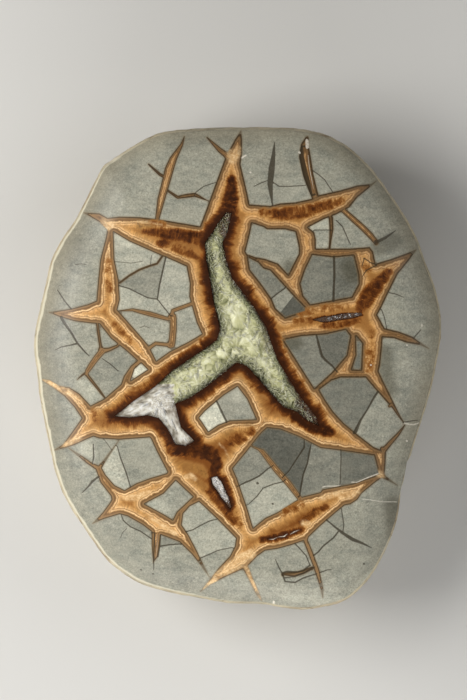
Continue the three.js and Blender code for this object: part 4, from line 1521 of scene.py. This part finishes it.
CRYSTALS = {
    "needle": crystal_shape([(0.9, -0.2), (0.75, 0.7)], (0.0, 0.0, 1.0)),
    "stub": crystal_shape([(1.0, -0.3), (0.95, 0.45)], (0.2, 0.1, 0.85)),
}
print("faces of one crystal:", len(CRYSTALS["needle"][1]))

# %% [markdown]
# The body of a druse is a shallow bowl with a low cushion in each clump. Every place belongs to the
# nearest clump, with borders that noise bends, and the height falls from the clump's middle to its
# border. Fibres are noise read by direction from the middle, so they fan out by themselves.

# %% The cushions of a druse
RIM_DROP = 0.0006
BOWL_WIDTH = 7.0
CLUMP_BEND = 4.0
BEND_SIZE, BEND_SLOTS = 0.09, (3, 50)
SUGAR_DEPTH = 0.00015
SUGAR_SIZE, SUGAR_SLOT = 0.18, 5
FIBRE_HEIGHT = 0.00010
FIBRE_SIZES = (2.4, 7.3), (5, 3.1)
CUSHION_POWER = 2.2
CUSHION_REACH = 6


def noise_at(pixels, size, slot):
    return np.array([noise.noise((x * size, y * size, slot)) for x, y in pixels.tolist()])


def nearest_clump(pixels, clumps):
    """The number of the clump that a pixel belongs to and the step from its middle."""
    bends = np.column_stack([noise_at(pixels, BEND_SIZE, slot) for slot in BEND_SLOTS])
    bent = pixels + CLUMP_BEND * bends
    number = np.concatenate([
        (np.hypot(*(bent[low:low + CHUNK, None] - clumps[None, :, :2]).transpose(2, 0, 1))
         / clumps[:, 2]).argmin(1)
        for low in range(0, len(bent), CHUNK)
    ])
    return number, bent - clumps[number, :2]


def fan_fibres(pixels, number, away):
    """Fine fibres that run out from the middle of each clump, as heights from -1 to 1."""
    way = away / np.maximum(np.hypot(*away.T), 0.5)[:, None]
    return np.array([sum(noise.noise((x * size, y * size, n * step)) for size, step in FIBRE_SIZES)
                     for (x, y), n in zip(way.tolist(), number.tolist())])


def crust_form(pixels, gap, clumps, form_at, fibres_at):
    """Height of the crust a gap inside the rim, its share of a cushion and its fibres."""
    ease = soft_steps(gap / BOWL_WIDTH)
    number, away = nearest_clump(pixels, clumps)
    share = np.hypot(*away.T) / clumps[number, 2]
    rise = np.clip(1 - share ** CUSHION_POWER, 0, 1) * ease
    drop, cushion = form_at(pixels)
    fibres = fibres_at(pixels, number, away)
    sugar = noise_at(pixels, SUGAR_SIZE, SUGAR_SLOT)
    rim_drop = np.minimum(RIM_DROP, drop / 3)
    height = face_height(pixels) - rim_drop
    height -= (drop - rim_drop + SUGAR_DEPTH * sugar) * ease
    height += cushion * (clumps[number, 2] / CUSHION_REACH) ** 0.3 * rise
    return height + FIBRE_HEIGHT * fibres * ease * np.clip(share * 2, 0, 1), rise, fibres


print("a crust starts", RIM_DROP * 1000, "mm under the face")

# %% The body of a druse
CRUST_INSET = 0.4
CRUST_STEP = 0.75
CRUST_GAP = 0.9
CRUST_SHAKE = 0.15
FLOOR_GAP = 0.0002


def crust_body(loop, deep, form, seed):
    """The crust as one closed body: the bowl on top, a flat floor and the wall between."""
    rim_line = snap(densify(loop, CRUST_STEP))
    ahead = np.roll(rim_line, -1, axis=0) - np.roll(rim_line, 1, axis=0)
    normal = np.column_stack([-ahead[:, 1], ahead[:, 0]]) / np.hypot(*ahead.T)[:, None]
    if inside_loops(rim_line + normal * TOUCHING, [loop]).mean() < 0.5:
        normal = -normal
    rim_line = snap(rim_line + normal * CRUST_INSET)
    inner = lattice(CRUST_STEP, rim_line.min(0), rim_line.max(0), CRUST_SHAKE, seed)
    inner_gap, _ = loop_depth(inner, [rim_line])
    flat, faces = fill_loops([(rim_line, True)], inner[inner_gap > CRUST_GAP])
    count = len(flat)
    sides = {(a, b) for face in faces.tolist() for a, b in zip(face, face[1:] + face[:1])}
    border = [(a, b) for a, b in sides if (b, a) not in sides]
    walls = [(b, a, a + count) for a, b in border] + [(b, a + count, b + count) for a, b in border]
    height, rise, fibres = form(flat, loop_depth(flat, [loop])[0])
    points = np.concatenate([in_space(flat, height), in_space(flat, STONE_HEIGHT - deep + FLOOR_GAP)])
    faces = np.concatenate([faces, faces[:, ::-1] + count, walls])
    return points, faces, np.tile(rise, 2), np.tile(fibres, 2)


print("points on a crust lie", round(CRUST_STEP * PIXEL * 1000, 2), "mm apart")

# %% [markdown]
# The crystals stand on the cushions and stop just under the polished face, because the polish never
# reached them. Single ones lean away from the middle of their clump. The needles of a sheaf share
# one aim, and most lie rather flat.

# %% Where crystals stand
CLUMP_REACH = 0.8
CLUMP_MARGIN = 9
CLUMP_SHAKE = 0.3
SPOT_SHAKE = 0.35
SHEAF_NEEDLES = 8
SHEAF_SHARE = 0.8
SHEAF_SPREAD = 0.45
SPOT_SPREAD = 0.3


def place_clumps(line, spacing, bosses, dice, seed):
    """Middle and reach of each clump. The bosses are given and push the others away."""
    clumps = lattice(spacing, line.min(0) - CLUMP_MARGIN, line.max(0) + CLUMP_MARGIN, CLUMP_SHAKE, seed)
    reaches = dice.uniform(0.8, 1.2, len(clumps)) * spacing * CLUMP_REACH
    clumps = np.column_stack([clumps, reaches])
    for x, y, reach in bosses:
        clumps = clumps[np.hypot(clumps[:, 0] - x, clumps[:, 1] - y) > reach]
    return np.concatenate([np.array(bosses, float).reshape(-1, 3), clumps])


def place_spots(line, spacing, sheaf_spacing, dice, seed):
    """Spots for single crystals and for the needles of sheaves, which of the two, and their aims."""
    sheaves = lattice(sheaf_spacing, line.min(0), line.max(0), SPOT_SHAKE, seed + 4)
    aims = np.repeat(dice.uniform(0, TURN, len(sheaves)), SHEAF_NEEDLES)
    aims += dice.normal(0, SHEAF_SPREAD, len(aims))
    sheaves = np.repeat(sheaves, SHEAF_NEEDLES, axis=0)
    single = lattice(spacing, line.min(0) - 1, line.max(0) + 1, SPOT_SHAKE, seed + 2)
    spots = np.concatenate([single, sheaves + dice.normal(0, SPOT_SPREAD, sheaves.shape)])
    sheaf = np.arange(len(spots)) >= len(single)
    return spots, sheaf, np.concatenate([np.zeros(len(single)), aims])


print("needles in a sheaf:", SHEAF_NEEDLES)

# %% Stand the crystals up


def stand(shape, width, height, turn, lean, way):
    """Copies a shape once per crystal, stretched, turned and leaned along its way."""
    points = shape[None] * np.stack([width, width, height], axis=-1)[:, None, :]
    c, s = np.cos(turn)[:, None], np.sin(turn)[:, None]
    points = np.stack([points[..., 0] * c - points[..., 1] * s,
                       points[..., 0] * s + points[..., 1] * c, points[..., 2]], axis=-1)
    lean_to = np.arctan2(way[:, 1], way[:, 0])
    axis = np.column_stack([-np.sin(lean_to), np.cos(lean_to), np.zeros(len(lean_to))])
    c, s = np.cos(lean)[:, None, None], np.sin(lean)[:, None, None]
    cross = np.cross(axis[:, None, :], points)
    dot = (points * axis[:, None, :]).sum(-1, keepdims=True) * axis[:, None, :]
    return points * c + cross * s + dot * (1 - c)


def stand_all(crystals, bases):
    """All crystals in one: points, faces, each point's crystal and how far up it the point is."""
    points, faces, owner, rise, first = [], [], [], [], 0
    for kind, (shape, shape_faces) in CRYSTALS.items():
        rows = np.flatnonzero(crystals["kind"] == kind)
        sizes = (crystals[key][rows] for key in ("width", "height", "turn", "lean", "way"))
        points.append((stand(shape, *sizes) + bases[rows][:, None, :]).reshape(-1, 3))
        steps = first + np.arange(len(rows))[:, None, None] * len(shape)
        faces.append((shape_faces[None] + steps).reshape(-1, 3))
        owner.append(np.repeat(rows, len(shape)))
        rise.append(np.tile(np.clip(shape[:, 2], 0, 1), len(rows)) * 0.7 + 0.3)
        first += len(rows) * len(shape)
    return map(np.concatenate, (points, faces, owner, rise))


print("kinds of crystal:", list(CRYSTALS))

# %% Grow a druse
TIP_GAP = 0.0001
LEAST_ROOM = 0.0002
LEAST_UPRIGHT = 0.16
WAY_SPREAD = 0.3
RIM_MARGINS = 0.5, 2.0
SHARP_DRUSE = math.radians(40)


def grow_druse(name, node, spacing, clump_spacing, bosses, form_at, fibres_at, choose, seed):
    """A crust with crystals on it. choose gives each crystal its kind, sizes and lean."""
    loop, deep = HOLLOWS[node]["rim"], HOLLOWS[node]["deep"]
    dice = np.random.default_rng(seed)
    line = np.asarray(loop, float)
    clumps = place_clumps(line, clump_spacing, bosses, dice, seed + 1)
    clump_tones = dice.random(len(clumps))

    def form(pixels, gap):
        return crust_form(pixels, gap, clumps, form_at, fibres_at)

    spots, sheaf, aims = place_spots(line, spacing, clump_spacing * SHEAF_SHARE, dice, seed)
    gap, _ = loop_depth(spots, [loop])
    inside = gap > np.where(sheaf, RIM_MARGINS[1], RIM_MARGINS[0])
    spots, sheaf, gap, aims = spots[inside], sheaf[inside], gap[inside], aims[inside]
    number, away = nearest_clump(spots, clumps)
    outward = away * [1, -1] / clumps[number, 2:3]
    way = outward + dice.normal(0, WAY_SPREAD, outward.shape)
    way[sheaf] = np.column_stack([np.cos(aims), np.sin(aims)])[sheaf]
    crystals = choose(spots, gap, number < len(bosses), sheaf, way, dice)
    ground, _, _ = form(spots, gap)
    room = face_height(spots) - ground - TIP_GAP
    upright = np.maximum(np.cos(crystals["lean"]), LEAST_UPRIGHT)
    crystals["height"] = np.minimum(crystals["height"], room / upright)
    crystals["turn"] = dice.uniform(0, math.pi, len(spots))
    shades = 0.6 * dice.random(len(spots)) + 0.4 * clump_tones[number]
    shades[sheaf] = 0.75 + 0.25 * shades[sheaf]
    kept = (crystals["kind"] != "none") & (room > LEAST_ROOM)
    crystals = {key: row[kept] for key, row in crystals.items()}
    points, faces, owner, rise = stand_all(crystals, in_space(spots, ground)[kept])
    crust_points, crust_faces, crust_rise, crust_fibres = crust_body(loop, deep, form, seed + 3)
    faces = np.concatenate([faces, crust_faces + len(points)])
    points = np.concatenate([points, crust_points])
    pixels = to_pixels(points)
    number, _ = nearest_clump(pixels[len(owner):], clumps)
    druse = new_object(name, points, faces, SHARP_DRUSE)
    hang(druse, {
        "shade": np.concatenate([shades[kept][owner], 0.3 + 0.4 * clump_tones[number]]),
        "rise": np.concatenate([rise, crust_rise * 0.75]),
        "margin": loop_depth(pixels, [loop])[0],
        "fibre": np.concatenate([np.where(sheaf[kept][owner], 1.0, 0.2), crust_fibres]),
    })
    low, high = points[:, :2].min(0), points[:, :2].max(0)
    wrap(druse, (points[faces][..., :2] - low) / (high - low).max() * 0.98 + 0.01)
    print(f"{name}: {kept.sum()} crystals, {len(faces)} triangles")
    return druse, pixels


print("a tip stops", TIP_GAP * 1000, "mm under the face")

# %% [markdown]
# In the main hollow needles fan out over milky green cushions, and at the junction three cushions
# are broad and almost bare. The lower left arm is white, west of a short ragged border: its crust
# is nearly flat, with streaks along the arm and a few needles that lie along it. At the north tip
# and at the end of the long right arm the crystals are painted dark as shade in the deep ends of
# the hollow, partly also their own darker colour, and only glint.

# %% The white arm of the main druse
MM = 0.001
WHITE_BORDER = (174.0, 384.0)
WHITE_LOW_END = (200.0, 404.0)
BORDER_WAVER, BORDER_WAVES = 4, 0.3
LEFT_RUN = (-0.9, -0.44)
LOWER_RUN = (0.36, -0.93)
# Each kind of streak: its strength, how fine it is across and along the arm, and its pattern.
STREAKS = [(1.6, 0.22, 0.08, 9), (1.3, 0.6, 0.2, 4), (1.1, 0.2, 0.2, 2), (0.5, 1.1, 0.7, 7)]


def in_white_arm(pixels):
    x, y = pixels.T
    ragged = np.array([noise.noise((v * BORDER_WAVES, 0, 6)) * BORDER_WAVER for v in y.tolist()])
    beyond = (x + ragged < WHITE_BORDER[0]) & (y > WHITE_BORDER[1])
    return beyond | ((y > WHITE_LOW_END[1]) & (x < WHITE_LOW_END[0]))


def arm_run(pixels):
    """The way that the white streaks run: along the left arm or along the lower one."""
    x, y = pixels.T
    turned = (np.clip((y - 396) / 14, 0, 1) * np.clip((x - 152) / 10, 0, 1))[:, None]
    return (1 - turned) * LEFT_RUN + turned * LOWER_RUN


def main_fibres(pixels, number, away):
    """Fans in the green part, and streaks along the arm in the white one."""
    fibres = fan_fibres(pixels, number, away)
    white = in_white_arm(pixels)
    along_way = arm_run(pixels[white]) * [1, -1]
    across_way = along_way[:, ::-1] * [-1, 1]
    along = (pixels[white] * along_way).sum(1)
    across = (pixels[white] * across_way).sum(1)
    fibres[white] = [
        sum(share * noise.noise((a * fine, b * long, slot)) for share, fine, long, slot in STREAKS)
        for a, b in zip(across.tolist(), along.tolist())
    ]
    return fibres


print("kinds of streak:", len(STREAKS))

# %% Grow the main druse
BOSSES = [(251, 347.5, 10.5), (239, 316, 12), (223, 352, 8)]
GREEN_FORM, WHITE_FORM = (0.0018, 0.0008), (0.0007, 0.0002)
# Places where the crystals are painted dark: shade in the deep ends of the hollow, and the crystals' own
# darker colour.
DARK_AND_SHADE_PLACES = [
    (1.0, [(231, 212, 6), (229, 222, 5), (224, 232, 1.5)]),
    (1.0, [(303, 402, 4), (310, 414, 7), (320, 427, 6)]),
    (0.7, [(187, 447, 0.5), (195, 443, 0.5)]),
    (0.4, [(265, 332, 1), (269, 348, 2)]),
    (0.35, [(292, 384, 1), (300, 396, 1)]),
    (0.3, [(224, 262, 0.5), (236, 285, 0.5)]),
    (0.3, [(143, 387, 1), (150, 384, 1.5)]),
    (0.3, [(172, 408, 0.5), (178, 420, 0.5)]),
]


def main_form(pixels):
    """How far the crust lies under the face, and its cushions: high and flat in the white arm."""
    x, y = pixels.T
    (border_x, border_y), (low_x, low_y) = WHITE_BORDER, WHITE_LOW_END
    white = np.clip((border_x + 6 - x) / 12, 0, 1) * np.clip((y - border_y + 4) / 8, 0, 1)
    white = np.maximum(white, np.clip((low_x - x) / 8, 0, 1) * np.clip((y - low_y + 4) / 8, 0, 1))
    return [green + (pale - green) * white for green, pale in zip(GREEN_FORM, WHITE_FORM)]


def main_choice(spots, gap, boss, sheaf, way, dice):
    count, bundled = len(spots), sheaf.sum()
    white = in_white_arm(spots)
    kinds = np.full(count, "needle", "U8")
    widths = dice.uniform(0.1, 0.22, count)
    heights = dice.uniform(1.4, 3.2, count)
    leans = np.radians(dice.uniform(56, 84, count))
    chance = dice.random(count)
    kinds[chance < np.where(gap < 6, 0.55, 0.98)] = "none"
    few = np.where(boss, 0.97, 0.3)
    kinds[sheaf] = np.where(chance < few, "none", "needle")[sheaf]
    widths[sheaf] = dice.uniform(0.07, 0.13, bundled)
    heights[sheaf] = dice.uniform(1.8, 4.2, bundled)
    leans[sheaf] = np.radians(dice.uniform(76, 88, bundled))
    kinds[white] = np.where(~sheaf | (chance < 0.5), "none", "needle")[white]
    leans[white] = np.radians(dice.uniform(84, 89, white.sum()))
    way = np.where(white[:, None], arm_run(spots) + dice.normal(0, 0.16, way.shape), way)
    return {"kind": kinds, "width": widths * MM, "height": heights * MM, "lean": leans, "way": way}


seam_druse, seam_pixels = grow_druse("green_and_white_druse", "seam_crystals", 1.3, 13.0, BOSSES,
                                     main_form, main_fibres, main_choice, seed=21)
hang(seam_druse, {
    "white_zone": in_white_arm(seam_pixels),
    "dark_and_shade": strongest(seam_pixels, DARK_AND_SHADE_PLACES, 8.0),
})

# %% [markdown]
# The pocket and the slit are small and filled nearly to the face, with crusts of pale crystals.
# Both are grown by the same rule, and their narrow ends are painted dark, as shade and as darker
# crystals.

# %% Grow the small druses
SMALL_FORM = 0.0007, 0.0002
SMALL_DRUSES = [
    ("pocket_druse", "pocket_crystals", 1.1, 6.0, 33, [(229, 504, 2), (231, 508, 2)]),
    ("slit_druse", "slit_crystals", 1.0, 4.0, 44, [(305, 321, 3), (360, 316, 3)]),
]


def small_form(pixels):
    return [np.full(len(pixels), size) for size in SMALL_FORM]


def small_choice(spots, gap, boss, sheaf, way, dice):
    count = len(spots)
    widths = dice.uniform(0.08, 0.16, count)
    heights = dice.uniform(0.9, 2.4, count)
    leans = np.radians(dice.uniform(60, 86, count))
    bare = dice.random(count) < np.where(sheaf, 0.55, 0.7)
    kinds = np.where(bare, "none", "needle").astype("U8")
    fat = ~bare & ~sheaf & (dice.random(count) < 0.5)
    kinds[fat], widths[fat] = "stub", dice.uniform(0.2, 0.4, fat.sum())
    heights[fat] = dice.uniform(0.4, 0.8, fat.sum())
    return {"kind": kinds, "width": widths * MM, "height": heights * MM, "lean": leans, "way": way}


small_druses = []
for name, node, spacing, clump_spacing, seed, dark_and_shade in SMALL_DRUSES:
    druse, pixels = grow_druse(name, node, spacing, clump_spacing, [], small_form, fan_fibres,
                               small_choice, seed)
    hang(druse, {"white_zone": np.ones(len(pixels)), "dark_and_shade": soft_mask(pixels, [dark_and_shade], 6.0)})
    small_druses.append(druse)

# %% [markdown]
# Calcite crystals are clear with a tint, and a druse of them looks milky because the light is
# turned so often between the faces. The base colour carries the tint, a share of the light goes
# through, and the index is calcite's own. Fibres are lighter than what lies between them. The tips
# of the crystals and the tops of the cushions are painted lighter and the dips between them
# darker, and the crust is painted darker towards the wall: painted light and shade. Towards the
# wall the crust is also stained brown, and only single faces still catch the light there.

# %% Material: calcite druse
GREENS = (116, 120, 80), (210, 209, 162), (253, 252, 222)
WHITES = (158, 150, 134), (218, 213, 200), (253, 252, 244)
PALE_WHITES = (190, 184, 174), (238, 234, 226), (254, 253, 250)
GREEN_STOPS, WHITE_STOPS = (0, 0.45, 0.95), (0, 0.4, 0.85)


def druse_material(name, whites, stain_width, stain_noise, stain_relief):
    material, t, shader = new_material(name)
    shade, rise, margin = t.number("shade"), t.number("rise"), t.number("margin")
    white_zone, dark_and_shade = t.number("white_zone"), t.number("dark_and_shade")
    clouds = t.noise(t.place(), 150, 3, 0.6)
    tone = t.times_plus(shade, 0.3, t.span(clouds, 0.34, 0.66, -0.1, 0.14))
    # Painted shade: the crust grows darker towards the wall of the hollow, much less in the white arm.
    wall_painted_shade = t.span(margin, 1, 11, -0.38, 0.06)
    tone = t.times_plus(wall_painted_shade, t.times_plus(white_zone, -0.8, 1), tone)
    # Painted light and shade: the tops of the cushions and the tips of the crystals lighter, the dips
    # between them darker.
    tone = t.plus(tone, t.span(rise, 0, 0.8, 0.1, 0.36))
    tone = t.times_plus(t.number("fibre"), 0.35, tone, clamp=True)
    green, white = (t.ramp(tone, list(zip(stops, tones)))
                    for stops, tones in ((GREEN_STOPS, GREENS), (WHITE_STOPS, whites)))
    colour = t.mix(white_zone, green, white)
    edge = t.plus(margin, t.times(t.less(clouds, 0.5), stain_noise))
    clean = t.times(t.span(rise, 0.45, 0.95, 1, 0.35), t.span(shade, 0.5, 0.8, 1, 0.5))
    stain = t.times(t.span(edge, stain_width, stain_width * 0.1, 0, 0.95), clean)
    stain = t.times(stain, t.times_plus(white_zone, -stain_relief, 1))
    colour = t.mix(stain, colour, (62, 36, 14))
    # The dark places take a dark brown, as painted shade and darker crystals; the lighter crystals stay
    # light.
    dark = t.times(dark_and_shade, t.span(shade, 0.62, 0.74, 0.95, 0.25))
    t.fill(shader, {
        "Base Color": t.mix(dark, colour, (88, 60, 40)),
        "Roughness": 0.38,
        "Specular IOR Level": 0.35,
        "IOR": 1.6,
        "Transmission Weight": 0.2,
        "Subsurface Weight": 0.7,
        "Subsurface Radius": (1, 1, 0.9),
        "Subsurface Scale": 0.002,
    })
    return material


green_calcite = druse_material("green_calcite", WHITES, 3.4, 5, 0.45)
lilac_calcite = druse_material("lilac_calcite", PALE_WHITES, 1.8, 3.5, 0.0)
pocket_druse, slit_druse = small_druses
for druse, node_name, slot_name, finish in (
        (seam_druse, "seam_crystals", "green_calcite", green_calcite),
        (pocket_druse, "pocket_crystals", "white_calcite", lilac_calcite),
        (slit_druse, "slit_crystals", "white_calcite", lilac_calcite)):
    druse.data.materials.append(finish)
    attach(druse, "root")
    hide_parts(node_name)
print("druse materials:", green_calcite.name, lilac_calcite.name)

# %% [markdown]
# The studio. A long lens straight above sees the face as the photograph does, and its distance
# makes the stone fill the same part of the picture. A big soft light stands on the left, so the
# left of the stone is brighter. A low one in front draws the thin bright line at the lower rim.

# %% Camera
LENS = 300.0
SENSOR_HEIGHT = 24.0
TRUE_HEIGHT = 0.038
CLIP_END = 20.0

camera_data = bpy.data.cameras.new("camera")
camera_data.lens = LENS
camera_data.sensor_fit = "VERTICAL"
camera_data.sensor_height = SENSOR_HEIGHT
camera_data.clip_end = CLIP_END
camera = add_to_scene("camera", camera_data)
camera_height = TRUE_HEIGHT + PHOTO_SIZE[1] * PIXEL * LENS / SENSOR_HEIGHT
camera.location = (*on_face(PHOTO_SIZE / 2)[0], camera_height)
bpy.context.scene.camera = camera
print("camera", round(camera_height, 2), "m up, pixels are true", TRUE_HEIGHT, "m up")

# %% Floor
FLOOR_HALF = 6.0

floor_mesh = bpy.data.meshes.new("floor")
floor_mesh.from_pydata([(x * FLOOR_HALF, y * FLOOR_HALF, 0)
                        for x, y in ((-1, -1), (1, -1), (1, 1), (-1, 1))], [], [(0, 1, 2, 3)])
floor = add_to_scene("floor", floor_mesh)
paper, t, shader = new_material("pale_paper")
t.fill(shader, {"Base Color": (200, 199, 196), "Roughness": 0.9})
floor.data.materials.append(paper)
print("floor:", FLOOR_HALF * 2, "m wide")

# %% Lights
WORLD_COLOUR, WORLD_STRENGTH = (0.9, 0.92, 0.95, 1.0), 0.05


def soft_light(name, place, aim, size, power, colour):
    """A rectangular light that points at a place."""
    data = bpy.data.lights.new(name, "AREA")
    data.shape = "RECTANGLE"
    data.size, data.size_y = size
    data.energy = power
    data.color = colour
    light = add_to_scene(name, data)
    light.location = place
    light.rotation_euler = (Vector(aim) - Vector(place)).to_track_quat("-Z", "Y").to_euler()


soft_light("key", (-0.64, 0.08, 0.57), (-0.01, 0.0, 0.04), (0.6, 0.6), 9.0, (1.0, 0.985, 0.955))
soft_light("fill", (0.75, 0.2, 0.6), (0.0, 0.0, 0.04), (0.7, 0.7), 2.6, (1.0, 0.99, 0.97))
soft_light("low", (0.0, -0.75, 0.3), (0.0, 0.0, 0.04), (0.8, 0.25), 4.8, (1.0, 1.0, 1.0))
world = bpy.data.worlds.new("studio")
world.use_nodes = True
background = world.node_tree.nodes["Background"].inputs
background["Color"].default_value, background["Strength"].default_value = WORLD_COLOUR, WORLD_STRENGTH
bpy.context.scene.world = world
bpy.context.scene.view_settings.view_transform = "Standard"

# %% Update the scene
bpy.context.view_layer.update()
